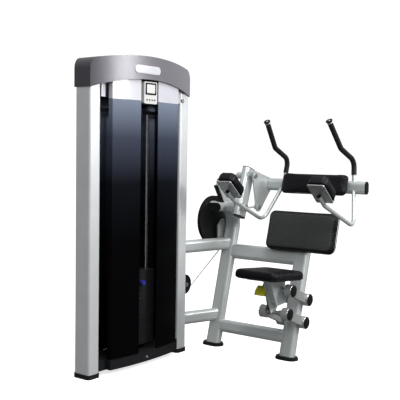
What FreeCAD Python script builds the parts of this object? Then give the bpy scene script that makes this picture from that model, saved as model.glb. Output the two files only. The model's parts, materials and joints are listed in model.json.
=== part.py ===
"""Ab crunch machine: weight tower, leaning frame, swing arm with beam and pads, and link-hung seat.

Axes: +Z up, the user sits facing -X, the arm turns about an axis along Y. The origin is the centre of
the rear foot's underside. Sizes are millimetres and degrees.
"""

import math
import os

import FreeCAD
import Part
import Sketcher

Vector = FreeCAD.Vector
Rotation = FreeCAD.Rotation

doc = FreeCAD.newDocument("ab_crunch_machine")
sheet = doc.addObject("Spreadsheet::Sheet", "Sizes")

SIZES = {
    # flat-oval frame tube, its wall, and the gap left at a coped or seated joint
    "tube_wide": 105, "tube_thick": 55, "tube_wall": 3, "joint_gap": 0.2, "rest_gap": 0.3,
    "lean_angle": 14.75, "upright_spacing": 560,
    "neck_tip_ahead": 12, "neck_height": 905, "neck_bend": 120,
    "front_upright_height": 860,
    "upper_tube_tall": 98, "upper_tube_height": 606, "lower_tube_tall": 82, "lower_tube_height": 128,
    "cross_tube_thick": 50,
    "foot_long": 148, "foot_wide": 92, "foot_thick": 20, "foot_lip": 8, "cap_thick": 5,
    "link_tube_upper": 655, "link_tube_lower": 196, "link_tube_tall": 82,
    # stop plate's corners, back from the neck's bend line and below the neck
    "stop_front": 126.2666, "stop_back": -23.7334, "stop_low": 250, "stop_high": 93, "stop_thick": 8,
    # arm pivot
    "pivot_ahead": 70, "shaft_radius": 15, "bush_wall": 5, "housing_radius": 24, "collar_radius": 33,
    "collar_end": 78, "running_gap": 0.05, "bush_long": 40, "side_gap": 0.4,
    # swing arm and V bracket
    "arm_lean": 19, "arm_thick": 50, "arm_below": 52, "arm_above": 268, "arm_side": 138,
    "bolt_above": 223, "bolt_radius": 8, "boss_radius": 22, "boss_reach": 50,
    "bracket_side": 190, "bracket_thick": 10,
    "brace_radius": 10, "brace_pin_ahead": 140,
    # cam
    "cam_side": 95, "cam_thick": 25, "cam_flange": 4, "cam_round": 160, "cam_lobe": 150,
    "cam_round_x": 40, "cam_round_z": -95, "cam_lobe_x": 78, "cam_lobe_z": -155, "groove_depth": 10,
    # beam, handles, pads on the beam
    "beam_x": 340, "beam_above": 147, "beam_z": "=neck_height + beam_above", "beam_tall": 80,
    "beam_thick": 50, "beam_start": 199, "beam_past": 336, "beam_end": "=upright_spacing + beam_past",
    "bar_radius": 12.5, "grip_radius": 16.5,
    "upper_pad_wide": 466, "upper_pad_tall": 137, "upper_pad_thick": 45, "upper_pad_tilt": 18,
    "elbow_x": -202, "elbow_above": 128, "elbow_z": "=neck_height + elbow_above",
    "elbow_side": 247, "elbow_out": "=upright_spacing - elbow_side", "elbow_slope": 40, "elbow_plate_wide": 108,
    "elbow_plate_long": 160, "elbow_plate_thick": 5, "elbow_pad_thick": 62, "elbow_margin": 8,
    "elbow_web_deep": 10, "elbow_bar_below": 17.8, "elbow_bar_run": 85,
    # handle bars' corners: along x, out from the user's middle, and above the arm's pivot
    "grip_top_x": 68, "grip_top_out": 217, "grip_top_above": 543,
    "grip_bend_x": 192, "grip_bend_out": 233, "grip_bend_above": 386, "grip_bend_round": 55,
    "grip_low_x": 364, "grip_low_out": 238, "grip_low_above": 313, "grip_low_round": 60,
    "handle_cross_out": 252, "handle_cross_above": 6, "handle_cross_round": 90,
    "handle_foot_x": 208, "handle_foot_out": 10, "handle_foot_below": 85, "handle_foot_round": 70,
    "handle_plate_round": 60, "grip_start": 12, "plug_thick": 4,
    # back pad and seat
    "back_pad_wide": 490, "back_pad_tall": 255, "back_pad_thick": 55, "back_pad_corner": 45,
    "back_pad_height": 774,
    "seat_x": -217, "seat_top": 570, "seat_deep": 348, "seat_wide": 290, "seat_thick": 50,
    "seat_corner": 36, "seat_tilt": 4.5,
    "link_length_x": 199, "link_drop": 81, "link_radius": 38, "link_bar_half": 26, "link_thick": 42,
    "link_bar_thick": 34, "link_gap": 1.5,
    "lower_pivot_height": 228, "upper_pivot_height": 363, "pin_radius": 12, "pin_cap": 34,
    "pin_cap_thick": 5, "seat_web": 6, "seat_bracket_half": 25,
    # weight tower
    "tower_centre": -672, "tower_side": 95, "tower_wide": 853, "post_wide": 83, "post_deep": 114,
    "post_corner": 14, "post_foot": 25, "head_height": 1570, "cap_above_head": 30,
    "cap_low": "=head_height + cap_above_head", "cap_tall": 197, "cap_top": "=cap_low + cap_tall",
    "post_in_cap": 60, "post_top": "=cap_low + post_in_cap", "cap_arch": 66, "cap_over": 4.5, "cap_skin": 4, "crown_drop": 62, "shoulder": 62,
    "tower_foot_lip": 10, "base_low": 30, "base_high": 90, "shroud_half": 285, "shroud_front": 110,
    "shroud_bow": 22, "shroud_skin": 3, "slot_half": 75, "shroud_in_cap": 100,
    "shroud_top": "=cap_low + shroud_in_cap", "band_below_cap": 55, "band_low": "=cap_low - band_below_cap",
    "rod_bar_drop": 95, "rod_bar_tall": 20, "rod_bar_deep": 40, "member_deep": 26, "member_tall": 70,
    "rod_radius": 9.5, "rod_half_gap": 100, "plate_wide": 250, "plate_deep": 105, "plate_thick": 27,
    "plate_gap": 0.3, "plate_count": 16, "lifted_count": 3, "bumper_tall": 30, "bumper_radius": 28,
    "lift_tube_radius": 11, "lift_bore": 5, "lift_tube_above": 60,
    "head_pulley": 58, "head_groove": 50, "pulley_thick": 22, "low_pulley_ahead": 45.5,
    "low_pulley_x": "=tower_centre + tower_wide / 2 + low_pulley_ahead", "low_pulley_z": 413, "low_pulley": 63, "low_groove": 53,
    "cable_radius": 3, "cable_slack": 0.6,
    # arm, pad, pulley, pin, counter and lever details
    "arm_set_back": 20, "lug_side": -128, "upper_pad_x": 262, "upper_pad_above": 170,
    "upper_pad_z": "=neck_height + upper_pad_above", "upper_pad_corner": 30,
    "cap_bow": 65, "axle_radius": 8, "pulley_bracket_half": 20,
    "selector_radius": 4, "knob_radius": 14, "knob_long": 22, "knob_ahead": 26, "lift_bore_deep": 345,
    "counter_wide": 112, "counter_tall": 125, "counter_front": -20,
    "button_radius": 5, "button_step": 22, "button_height": 22,
    "back_plate_thick": 5, "tab_x": 2, "tab_z": 226,
    "lever_long": 73, "lever_thick": 10, "lever_arm_thick": 6, "lever_bend": 64, "spacer_radius": 18,
}
for row, (name, value) in enumerate(SIZES.items(), 1):
    sheet.set("A%d" % row, name)
    sheet.set("B%d" % row, str(value))
    sheet.setAlias("B%d" % row, name)
doc.recompute()


class Size:
    """A sheet value, or arithmetic on sheet values, with the expression that binds it."""

    def __init__(self, value, text):
        self.value = value
        self.text = text

    def __float__(self):
        return self.value

    def __add__(self, other):
        return Size(self.value + float(other), "(%s + %s)" % (self.text, as_text(other)))

    def __sub__(self, other):
        return Size(self.value - float(other), "(%s - %s)" % (self.text, as_text(other)))

    def __mul__(self, other):
        return Size(self.value * float(other), "(%s * %s)" % (self.text, as_text(other)))

    def __truediv__(self, other):
        return Size(self.value / float(other), "(%s / %s)" % (self.text, as_text(other)))

    def __radd__(self, other):
        return self + other

    def __rsub__(self, other):
        return Size(float(other) - self.value, "(%s - %s)" % (as_text(other), self.text))

    def __neg__(self):
        return 0 - self


def as_text(number):
    return number.text if isinstance(number, Size) else "%.9g" % number


class Sizes:
    """Attribute access to the sheet: S.tube_wide is that cell's value with its expression."""

    def __getattr__(self, name):
        return Size(float(sheet.get(name)), "Sizes." + name)


S = Sizes()
pieces = {}


def keep(name, obj):
    """Registers a finished sub-part under its node name."""
    obj.Label = name
    pieces[name] = obj
    return obj


def bind(obj, prop, amount):
    """Sets a property, and ties it to the sheet where the amount comes from there."""
    if isinstance(amount, Size):
        obj.setExpression(prop, amount.text)
    else:
        setattr(obj, prop, amount)


# ---- sketch outlines ---------------------------------------------------------------------------


def locate(sketch, geometry, point, x, y):
    """Ties a sketch point to its place from the sketch's origin."""
    for kind, axis, amount in (("DistanceX", -2, x), ("DistanceY", -1, y)):
        if abs(float(amount)) < 1e-9:
            sketch.addConstraint(rule("PointOnObject", geometry, point, axis))
        else:
            tie(sketch, kind, (-1, 1, geometry, point), amount)


def rule(*words):
    """A sketch constraint."""
    return Sketcher.Constraint(*words)


def tie(sketch, kind, places, amount):
    """Adds a dimension and binds it to the sheet."""
    index = sketch.addConstraint(rule(kind, *places, float(amount)))
    if isinstance(amount, Size):
        sketch.setExpression("Constraints[%d]" % index, amount.text)


def rectangle(sketch, left, bottom, right, top):
    """Draws a rectangle by its four sides' places."""
    x0, y0, x1, y1 = float(left), float(bottom), float(right), float(top)
    corners = [Vector(x0, y0, 0), Vector(x1, y0, 0), Vector(x1, y1, 0), Vector(x0, y1, 0)]
    first = sketch.GeometryCount
    for i in range(4):
        sketch.addGeometry(Part.LineSegment(corners[i], corners[(i + 1) % 4]), False)
    for i in range(4):
        following = first + (i + 1) % 4
        sketch.addConstraint(rule("Coincident", first + i, 2, following, 1))
    for i, kind in enumerate(("Horizontal", "Vertical", "Horizontal", "Vertical")):
        sketch.addConstraint(rule(kind, first + i))
    locate(sketch, first, 1, left, bottom)
    locate(sketch, first + 2, 1, right, top)


def circle(sketch, radius, x=0, y=0):
    """Draws a circle with its centre tied to its place."""
    index = sketch.addGeometry(
        Part.Circle(Vector(float(x), float(y), 0), Vector(0, 0, 1), float(radius)), False
    )
    locate(sketch, index, 3, x, y)
    tie(sketch, "Radius", (index,), radius)


def stadium(sketch, long, wide, upright=False):
    """Draws a flat oval about the sketch's origin, its long side along x, or along y if upright."""
    radius, reach = wide / 2, (long - wide) / 2
    r, c = float(radius), float(reach)
    ends = ((1, -90), (-1, 90))
    if upright:
        ends = ((1, 0), (-1, 180))
    first = sketch.GeometryCount
    for sign, start in ends:
        centre = Vector(0, sign * c, 0) if upright else Vector(sign * c, 0, 0)
        whole = Part.Circle(centre, Vector(0, 0, 1), r)
        sketch.addGeometry(
            Part.ArcOfCircle(whole, math.radians(start), math.radians(start + 180)), False
        )
    for a, b in ((first, first + 1), (first + 1, first)):
        from_arc, to_arc = sketch.Geometry[a], sketch.Geometry[b]
        line = Part.LineSegment(from_arc.EndPoint, to_arc.StartPoint)
        side = sketch.addGeometry(line, False)
        sketch.addConstraint(rule("Tangent", a, 2, side, 1))
        sketch.addConstraint(rule("Tangent", side, 2, b, 1))
    sketch.addConstraint(rule("Equal", first, first + 1))
    tie(sketch, "Radius", (first,), radius)
    for index, sign in ((first, 1), (first + 1, -1)):
        x, y = (0, reach * sign) if upright else (reach * sign, 0)
        locate(sketch, index, 3, x, y)


def hull_edges(circles):
    """The outline of circles (x, y, radius), given in counterclockwise order, joined by tangents."""
    normals, edges = [], []
    spots = [tuple(float(v) for v in spot) for spot in circles]
    for (x0, y0, r0), (x1, y1, r1) in zip(spots, spots[1:] + spots[:1]):
        gap = math.hypot(x1 - x0, y1 - y0)
        dx, dy = (x1 - x0) / gap, (y1 - y0) / gap
        along = (r0 - r1) / gap
        aside = math.sqrt(1 - along * along)
        nx, ny = dx * along + dy * aside, dy * along - dx * aside
        normals.append(math.atan2(ny, nx))
        edges.append((Vector(x0 + r0 * nx, y0 + r0 * ny, 0), Vector(x1 + r1 * nx, y1 + r1 * ny, 0)))
    outline = []
    for i, (x, y, r) in enumerate(spots):
        if r > 0:
            start, end = normals[i - 1], normals[i]
            if end < start:
                end += 2 * math.pi
            outline.append(Part.ArcOfCircle(Part.Circle(Vector(x, y, 0), Vector(0, 0, 1), r), start, end))
        outline.append(Part.LineSegment(*edges[i]))
    return outline


def hull(sketch, circles):
    """Draws the outline of tangent-joined circles."""
    for edge in hull_edges(circles):
        sketch.addGeometry(edge, False)


def draw_on(body, plane, name, draw, offset=0):
    """A sketch on one of the body's own origin planes, shifted along its normal."""
    sketch = body.newObject("Sketcher::SketchObject", name)
    support = [f for f in body.Origin.OriginFeatures if f.Role == plane + "_Plane"][0]
    sketch.AttachmentSupport = [(support, "")]
    sketch.MapMode = "FlatFace"
    if offset:
        sketch.AttachmentOffset = FreeCAD.Placement(Vector(0, 0, float(offset)), Rotation())
    draw(sketch)
    return sketch


def pad(name, plane, draw, thick, at=(0, 0, 0), turn=None):
    """A body padded equally both ways from one of its planes, then placed."""
    body = doc.addObject("PartDesign::Body", name + "_body")
    feature = body.newObject("PartDesign::Pad", name + "_pad")
    feature.Profile = draw_on(body, plane, name + "_outline", draw)
    feature.SideType = "Symmetric"
    bind(feature, "Length", thick)
    place = Vector(*[float(v) for v in at])
    body.Placement = FreeCAD.Placement(place, turn or Rotation())
    return body


def pocket(body, name, plane, draw, deep=None, offset=0):
    """Cuts a sketched outline out of a body, through everything or by a depth, both ways."""
    feature = body.newObject("PartDesign::Pocket", name)
    feature.Profile = draw_on(body, plane, name + "_outline", draw, offset)
    feature.SideType = "Symmetric"
    if deep is None:
        feature.Length = 4000
    else:
        bind(feature, "Length", deep)
    return body


# ---- primitives and booleans -------------------------------------------------------------------

TO_AXIS = {
    "x": Rotation(Vector(0, 1, 0), 90),
    "y": Rotation(Vector(1, 0, 0), -90),
    "z": Rotation(),
}


def rod(name, radius, length, start, axis="y"):
    """A cylinder from its start point along an axis."""
    obj = doc.addObject("Part::Cylinder", name)
    bind(obj, "Radius", radius)
    bind(obj, "Height", length)
    obj.Placement = FreeCAD.Placement(Vector(*[float(v) for v in start]), TO_AXIS[axis])
    return obj


def block(name, low, sides, at=Vector(), turn=Rotation()):
    """A box from its low corner, in a frame that may be placed and turned."""
    obj = doc.addObject("Part::Box", name)
    for prop, amount in zip(("Length", "Width", "Height"), sides):
        bind(obj, prop, amount)
    low = Vector(*[float(v) for v in low])
    obj.Placement = FreeCAD.Placement(at + turn.multVec(low), turn)
    return obj


def cut(name, base, *tools):
    """The base less every tool."""
    for i, tool in enumerate(tools):
        result = doc.addObject("Part::Cut", "%s_cut_%d" % (name, i))
        result.Base, result.Tool = base, tool
        base = result
    return base


def fuse(name, *parts):
    """One solid from several that meet."""
    result = doc.addObject("Part::MultiFuse", name + "_fuse")
    result.Shapes = list(parts)
    return result


def group(name, *parts):
    """Several separate solids of one kind, kept as one node."""
    result = doc.addObject("Part::Compound", name + "_group")
    result.Links = list(parts)
    return result


def solid(name, shape):
    """A piece whose shape is worked out with Part's own functions."""
    obj = doc.addObject("Part::Feature", name + "_solid")
    obj.Shape = shape
    return obj


def rounded_path(points, radii):
    """Straight runs joined by tangent arcs, as a wire."""
    points = [Vector(*[float(v) for v in p]) for p in points]
    edges, start = [], points[0]
    for i, radius in enumerate(radii, 1):
        back = (points[i - 1] - points[i]).normalize()
        ahead = (points[i + 1] - points[i]).normalize()
        half = back.getAngle(ahead) / 2
        reach = float(radius) / math.tan(half)
        first, last = points[i] + back * reach, points[i] + ahead * reach
        inward = (back + ahead).normalize()
        centre = points[i] + inward * (float(radius) / math.sin(half))
        middle = centre - inward * float(radius)
        edges.append(Part.makeLine(start, first))
        edges.append(Part.Arc(first, middle, last).toShape())
        start = last
    edges.append(Part.makeLine(start, points[-1]))
    return Part.Wire(edges)


def round_bar(path, radius):
    """A round bar swept along a wire."""
    edge = path.Edges[0]
    start, direction = edge.valueAt(edge.FirstParameter), edge.tangentAt(edge.FirstParameter)
    profile = Part.Wire(Part.makeCircle(float(radius), start, direction))
    return path.makePipeShell([profile], True, False)


def flat_oval_wire(long, wide, at, long_axis, wide_axis):
    """A flat oval's outline in space, about a point."""
    long, wide = float(long), float(wide)
    reach = (long - wide) / 2

    def spot(u, v):
        return at + long_axis * u + wide_axis * v

    half = wide / 2
    return Part.Wire(
        [
            Part.makeLine(spot(-reach, -half), spot(reach, -half)),
            Part.Arc(spot(reach, -half), spot(reach + half, 0), spot(reach, half)).toShape(),
            Part.makeLine(spot(reach, half), spot(-reach, half)),
            Part.Arc(spot(-reach, half), spot(-reach - half, 0), spot(-reach, -half)).toShape(),
        ]
    )


# ---- places that several pieces share ----------------------------------------------------------

LEAN = math.radians(float(S.lean_angle))
UPRIGHT_Y = -float(S.upright_spacing)
PIVOT = Vector(float(S.pivot_ahead), 0, float(S.neck_height))
LEAN_TURN = Rotation(Vector(0, 1, 0), float(S.lean_angle))


def upright_x(height):
    """How far back an upright's centre line stands at a height."""
    return float(height) * math.tan(LEAN)


# ---- body frame --------------------------------------------------------------------------------


def neck_path():
    """The rear upright's centre line: forward neck, bend, leaning post."""
    tip = (-float(S.neck_tip_ahead), 0, S.neck_height)
    corner = (upright_x(S.neck_height), 0, S.neck_height)
    below = -float(S.tube_thick)
    return rounded_path([tip, corner, (upright_x(below), 0, below)], [S.neck_bend])


def neck_solid(grow):
    """The rear upright's full section, grown all round, along its centre line."""
    at = Vector(-float(S.neck_tip_ahead), 0, float(S.neck_height))
    profile = flat_oval_wire(
        S.tube_wide + 2 * float(grow), S.tube_thick + 2 * float(grow), at, Vector(0, 1, 0), Vector(0, 0, 1)
    )
    return neck_path().makePipeShell([profile], True, False)


def below_feet():
    """Everything lower than the feet's upper faces."""
    size = 3000
    return Part.makeBox(size, size, size, Vector(-size / 2, -size / 2, float(S.foot_thick) - size))


def make_rear_upright():
    """The leaning post that bends forward into the neck, with the bearing housing welded through it."""
    reach = S.collar_end
    tube = solid("rear_tube", neck_solid(0).cut(neck_solid(-float(S.tube_wall))).cut(below_feet()))
    parts = [rod("housing", S.housing_radius, reach * 2, (PIVOT.x, -reach, PIVOT.z))]
    full = neck_solid(-0.5 * float(S.tube_wall))
    for i, start in enumerate((-reach, S.tube_wide / 2 - S.tube_wall)):
        ring = rod("collar_%d" % i, S.collar_radius, reach - S.tube_wide / 2 + S.tube_wall,
                   (PIVOT.x, start, PIVOT.z))
        parts.append(cut("collar_%d" % i, ring, solid("collar_cope_%d" % i, full)))
    bore = rod("housing_bore", S.shaft_radius + S.bush_wall, reach * 2, (PIVOT.x, -reach, PIVOT.z))
    keep("rear_upright", cut("rear_upright", fuse("rear_upright", tube, *parts), bore))


def oval_tube(name, long, wide, length, upright=False):
    """A hollow flat-oval tube along its body's z axis, centred."""
    wall = S.tube_wall

    def outline(sketch):
        stadium(sketch, long, wide, upright)
        stadium(sketch, long - wall * 2, wide - wall * 2, upright)

    return pad(name, "XY", outline, length)


def front_tube_solid(grow):
    """The front upright's full section, grown all round, from below the floor to its top."""
    profile = flat_oval_wire(
        S.tube_wide + 2 * float(grow), S.tube_thick + 2 * float(grow),
        Vector(upright_x(-50), UPRIGHT_Y, -50), Vector(0, 1, 0), Vector(math.cos(LEAN), 0, -math.sin(LEAN)),
    )
    run = (float(S.front_upright_height) + 50) / math.cos(LEAN)
    return Part.Face(profile).extrude(Vector(math.sin(LEAN), 0, math.cos(LEAN)) * run)


def make_front_upright():
    """The leaning post behind the user, bored for the seat's pins, with a holed tab and the pad's plate."""
    tube = solid("front_tube", front_tube_solid(0).cut(front_tube_solid(-float(S.tube_wall))).cut(below_feet()))
    x, z = S.tab_x, S.tab_z
    outline = [(x, z, 13), (x + 28, z - 46, 6), (x + 48, z + 4, 6)]
    tab = pad("tab", "XZ", lambda s: hull(s, outline), 8, (0, UPRIGHT_Y, 0))
    inside = solid("tab_cope", front_tube_solid(-0.5 * float(S.tube_wall)))
    hole = rod("tab_hole", 5, 40, (x, UPRIGHT_Y - 20, z))
    sink = 0.5
    plate = rounded_pad("back_plate", "YZ", 300, 150, 15, S.back_plate_thick,
                        lean_point(sink - (S.tube_thick + S.back_plate_thick) / 2, S.back_pad_height), LEAN_TURN)
    whole = fuse("front_upright", tube, cut("tab", tab, inside, hole), cut("back_plate", plate, inside))
    bores = [rod("seat_bore_%d" % i, S.pin_radius + S.joint_gap, 200, (upright_x(h), UPRIGHT_Y - 100, h))
             for i, h in enumerate((S.upper_pivot_height, S.lower_pivot_height))]
    keep("front_upright", cut("front_upright", whole, *bores))


def cross_tube(name, tall, height):
    """A flat-oval tube from one leaning upright to the other, coped round both."""
    length = S.upright_spacing
    tube = oval_tube(name, tall, S.cross_tube_thick, length)
    turn = LEAN_TURN.multiply(Rotation(Vector(1, 0, 0), 90)).multiply(Rotation(Vector(0, 0, 1), 90))
    tube.Placement = FreeCAD.Placement(Vector(upright_x(height), UPRIGHT_Y / 2, float(height)), turn)
    gap = float(S.joint_gap)
    rear = solid(name + "_rear_cope", neck_solid(gap))
    front = solid(name + "_front_cope", front_tube_solid(gap))
    keep(name, cut(name, tube, rear, front))


def post_outline(sketch, inset=0):
    """The tower post's rounded rectangle."""
    half_wide, half_deep = float(S.post_wide) / 2 - inset, float(S.post_deep) / 2 - inset
    r = float(S.post_corner) - inset
    x, y = half_wide - r, half_deep - r
    hull(sketch, [(-x, -y, r), (x, -y, r), (x, y, r), (-x, y, r)])


def connecting_tube(name, height):
    """A flat-oval tube from the tower's inner post to the rear upright, coped round both."""
    start = Vector(float(S.tower_centre + S.tower_wide / 2), float(S.tower_side), float(height))
    end = Vector(upright_x(height), 0, float(height))
    along = end - start
    tube = oval_tube(name, S.link_tube_tall, S.cross_tube_thick, along.Length)
    turn = Rotation(Vector(0, 0, 1), math.degrees(math.atan2(along.y, along.x)))
    turn = turn.multiply(Rotation(Vector(0, 1, 0), 90))
    tube.Placement = FreeCAD.Placement((start + end) / 2, turn)
    gap = float(S.joint_gap)
    rear = solid(name + "_cope", neck_solid(gap))
    keep(name, cut(name, tube, rear, post_block(name, start.x - float(S.post_wide) / 2, gap)))


def post_block(name, x, gap):
    """A full tower post, grown by a gap, for coping what meets it."""
    body = pad(name + "_post", "XY", lambda sketch: post_outline(sketch, -gap), 1200, (x, S.tower_side, 600))
    return body


def make_feet():
    """Two-step rubber feet under the uprights, and plain ones under the tower's posts."""
    feet = []
    for i, y in enumerate((0, UPRIGHT_Y)):
        low = S.foot_thick - S.foot_lip
        flat = pad("foot_%d" % i, "XY", lambda s: stadium(s, S.foot_long, S.foot_wide, True), low,
                   (0, y, low / 2))
        lip = pad("foot_lip_%d" % i, "XY",
                  lambda s: stadium(s, S.foot_long - S.foot_lip, S.foot_wide - S.foot_lip, True),
                  S.foot_lip, (0, y, low + S.foot_lip / 2))
        feet.append(fuse("foot_%d" % i, flat, lip))
    half = (S.tower_wide - S.post_wide) / 2
    for side in (-1, 1):
        spot = (S.tower_centre + half * side, S.tower_side, S.post_foot / 2)
        lip = -float(S.tower_foot_lip) / 2
        feet.append(pad("tower_foot_%d" % (side + 1), "XY", lambda s: post_outline(s, lip), S.post_foot, spot))
    keep("feet", group("feet", *feet))


def make_frame_caps():
    """Black plugs on the neck's tip and the front upright's top."""
    tip = pad("neck_cap", "YZ", lambda s: stadium(s, S.tube_wide, S.tube_thick), S.cap_thick,
              (-S.neck_tip_ahead - S.cap_thick / 2, 0, S.neck_height))
    top_z = float(S.front_upright_height)
    out = float(S.cap_thick) / 2
    spot = (upright_x(top_z) + out * math.sin(LEAN), UPRIGHT_Y, top_z + out * math.cos(LEAN))
    top = pad("front_cap", "XY", lambda s: stadium(s, S.tube_wide, S.tube_thick, True), S.cap_thick,
              spot, LEAN_TURN)
    keep("frame_end_caps", group("frame_end_caps", tip, top))


def make_hub_bushes():
    """The plain bushes in the two ends of the bearing housing."""
    bushes = []
    for i, start in enumerate((-S.collar_end, S.collar_end - S.bush_long)):
        sleeve = rod("bush_%d" % i, S.shaft_radius + S.bush_wall, S.bush_long, (PIVOT.x, start, PIVOT.z))
        inside = rod("bush_bore_%d" % i, S.shaft_radius + S.running_gap, S.bush_long, (PIVOT.x, start, PIVOT.z))
        bushes.append(cut("bush_%d" % i, sleeve, inside))
    keep("hub_bushes", group("hub_bushes", *bushes))


def make_stop_plate():
    """A chamfered plate welded to the outer side of the neck, behind the cam's inner face."""
    bend = upright_x(S.neck_height)
    front, back = bend - float(S.stop_front), bend - float(S.stop_back)
    low, high = S.neck_height - S.stop_low, S.neck_height - S.stop_high
    outline = [(front, low, 4), (back, low, 8), (back - 12, high - 12, 12), (front + 38, high, 4),
               (front - 4, high - 37, 4)]
    plate = pad("stop_plate", "XZ", lambda s: hull(s, outline), S.stop_thick,
                (0, (S.tube_wide + S.stop_thick) / 2, 0))
    keep("stop_plate", cut("stop_plate", plate, solid("stop_cope", neck_solid(float(S.joint_gap)))))


# ---- weight tower ------------------------------------------------------------------------------


def make_posts():
    """The tower's two posts, slotted where the cable and its pulleys pass."""
    half = (S.tower_wide - S.post_wide) / 2
    for name, side in (("tower_upright_left", -1), ("tower_upright_right", 1)):
        x = S.tower_centre + half * side

        def outline(sketch):
            post_outline(sketch)
            post_outline(sketch, float(S.tube_wall))

        tall = S.post_top - S.post_foot
        post = pad(name, "XY", outline, tall, (x, S.tower_side, S.post_foot + tall / 2))
        if side > 0:
            slot = float(S.pulley_thick) + 4
            low = block(name + "_low_slot", (x + 30, S.tower_side - slot / 2, S.low_pulley_z - S.low_pulley - 6),
                        (30, slot, S.low_pulley * 2 + 12))
            high = block(name + "_high_slot", (x - 60, S.tower_side - slot / 2, S.head_height - S.head_pulley - 6),
                         (30, slot, 200))
            axle = rod(name + "_axle_hole", 8 + float(S.joint_gap), 200,
                       (head_pulley_x(1), S.tower_side - 100, S.head_height))
            post = cut(name, post, low, high, axle)
        keep(name, post)


def head_pulley_x(which):
    """The head pulleys' centres: over the stack's middle, and over the cable's way down."""
    around = float(S.head_groove + S.cable_radius)
    if which == 0:
        return float(S.tower_centre) + around
    return float(S.low_pulley_x) - float(S.low_groove + S.cable_radius) - around


def bowed_plan(sketch, half, ends, bow):
    """A plan outline with straight sides, and a front and back that bow out between them."""
    edges = []
    for sign in (-1, 1):
        left, right = Vector(sign * half, sign * ends, 0), Vector(-sign * half, sign * ends, 0)
        edges.append(Part.Arc(left, Vector(0, sign * (ends + bow), 0), right))
        edges.append(Part.LineSegment(right, Vector(-sign * half, -sign * ends, 0)))
    for edge in edges:
        sketch.addGeometry(edge, False)


def bowed_column(name, half, ends, bow, low, high):
    """A bowed plan raised between two heights, about the tower's middle."""
    tall = high - low
    return pad(name, "XY", lambda s: bowed_plan(s, float(half), float(ends), float(bow)), tall,
               (S.tower_centre, S.tower_side, low + tall / 2))


def make_base():
    """The black tray between the posts, bowed out under the shrouds."""
    low, high = S.base_low, S.base_high
    half = S.tower_wide / 2 - S.post_wide - S.joint_gap
    deep = S.post_deep / 2 - 4
    core = block("base_core", (S.tower_centre - half, S.tower_side - deep, low),
                 (half * 2, deep * 2, high - low))
    ends = S.shroud_front - S.shroud_bow - S.shroud_skin
    tray = bowed_column("base_tray", S.shroud_half, ends, S.shroud_bow, low, high)
    keep("tower_base", fuse("tower_base", core, tray))


def shroud_shell(name, low, high, sides):
    """Thin bowed sheets between two heights, on the front's two sides or across the back."""
    skin = S.shroud_skin
    ends = S.shroud_front - S.shroud_bow
    outer = bowed_column(name + "_outer", S.shroud_half, ends, S.shroud_bow, low, high)
    inner = bowed_column(name + "_inner", S.shroud_half - skin, ends - skin, S.shroud_bow, low - 10, high + 10)
    span, deep = S.shroud_half + 10, S.shroud_front + 10
    face = S.post_deep / 2 + S.joint_gap
    tall = high - low + 20
    away = {"front": -1, "back": 1}[sides]
    behind = block(name + "_behind", (S.tower_centre - span, S.tower_side - (face if away < 0 else deep), low - 10),
                   (span * 2, deep + face, tall))
    parts = [inner, behind]
    if away < 0:
        parts.append(block(name + "_slot", (S.tower_centre - S.slot_half, S.tower_side - deep, low - 10),
                           (S.slot_half * 2, deep, tall)))
    return cut(name, outer, *parts)


def make_shrouds():
    """The black front shrouds each side of the stack's slot, their pale tops, and the rear one."""
    gap = S.joint_gap
    for name, side in (("shroud_left", -1), ("shroud_right", 1)):
        shell = shroud_shell(name, S.base_high + gap, S.band_low, "front")
        keep(name, half_of(name, shell, side))
    bands = shroud_shell("shroud_bands", S.band_low + gap, S.shroud_top, "front")
    keep("shroud_bands", bands)
    keep("rear_shroud", shroud_shell("rear_shroud", S.base_high + gap, S.shroud_top, "back"))


def half_of(name, obj, side):
    """What lies to one side of the tower's middle."""
    reach = 1000
    x = S.tower_centre - (0 if side < 0 else reach)
    return cut(name + "_half", obj, block(name + "_other", (x, -reach, 0), (reach, reach * 2, reach * 2)))


def cap_solid(inset, low):
    """The cap's full form: an arched front view crossed with a bowed plan, both inset alike."""
    half = float(S.tower_wide / 2 + S.cap_over) - inset
    top = float(S.cap_top) - inset
    shoulder = top - float(S.crown_drop)
    r = float(S.shoulder) - inset
    arch = float(S.cap_low) - low
    rise = float(S.cap_arch)
    x, z = half - r, shoulder - r * 0.6
    run = math.sqrt(0.5)

    def spot(u, w):
        return Vector(u, 0, w)

    base = float(S.cap_low) - arch
    edges = [
        Part.makeLine(spot(-half, base), spot(-half, z)),
        Part.Arc(spot(-half, z), spot(-x - r * run, z + r * 0.78), spot(-x, z + r * 1.08)).toShape(),
        Part.Arc(spot(-x, z + r * 1.08), spot(0, top), spot(x, z + r * 1.08)).toShape(),
        Part.Arc(spot(x, z + r * 1.08), spot(x + r * run, z + r * 0.78), spot(half, z)).toShape(),
        Part.makeLine(spot(half, z), spot(half, base)),
    ]
    if arch:
        edges.append(Part.makeLine(spot(half, base), spot(-half, base)))
    else:
        edges.append(Part.Arc(spot(half, base), spot(0, base + rise), spot(-half, base)).toShape())
    front = Part.Face(Part.Wire(edges)).extrude(Vector(0, 600, 0))
    front.translate(Vector(float(S.tower_centre), float(S.tower_side) - 300, 0))
    ends = float(S.post_deep / 2 + S.cap_over) - inset
    bow = float(S.cap_bow)
    plan = []
    for sign in (-1, 1):
        left, right = Vector(sign * half, sign * ends, 0), Vector(-sign * half, sign * ends, 0)
        plan.append(Part.Arc(left, Vector(0, sign * (ends + bow), 0), right).toShape())
        plan.append(Part.makeLine(right, Vector(-sign * half, -sign * ends, 0)))
    column = Part.Face(Part.Wire(plan)).extrude(Vector(0, 0, 2500))
    column.translate(Vector(float(S.tower_centre), float(S.tower_side), 0))
    return front.common(column)


def make_cap():
    """The arched cap: a hollow cover over both posts, open below."""
    hollow = cap_solid(float(S.cap_skin), float(S.cap_low) - 100)
    keep("tower_cap", solid("tower_cap", cap_solid(0, float(S.cap_low)).cut(hollow)))


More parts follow.
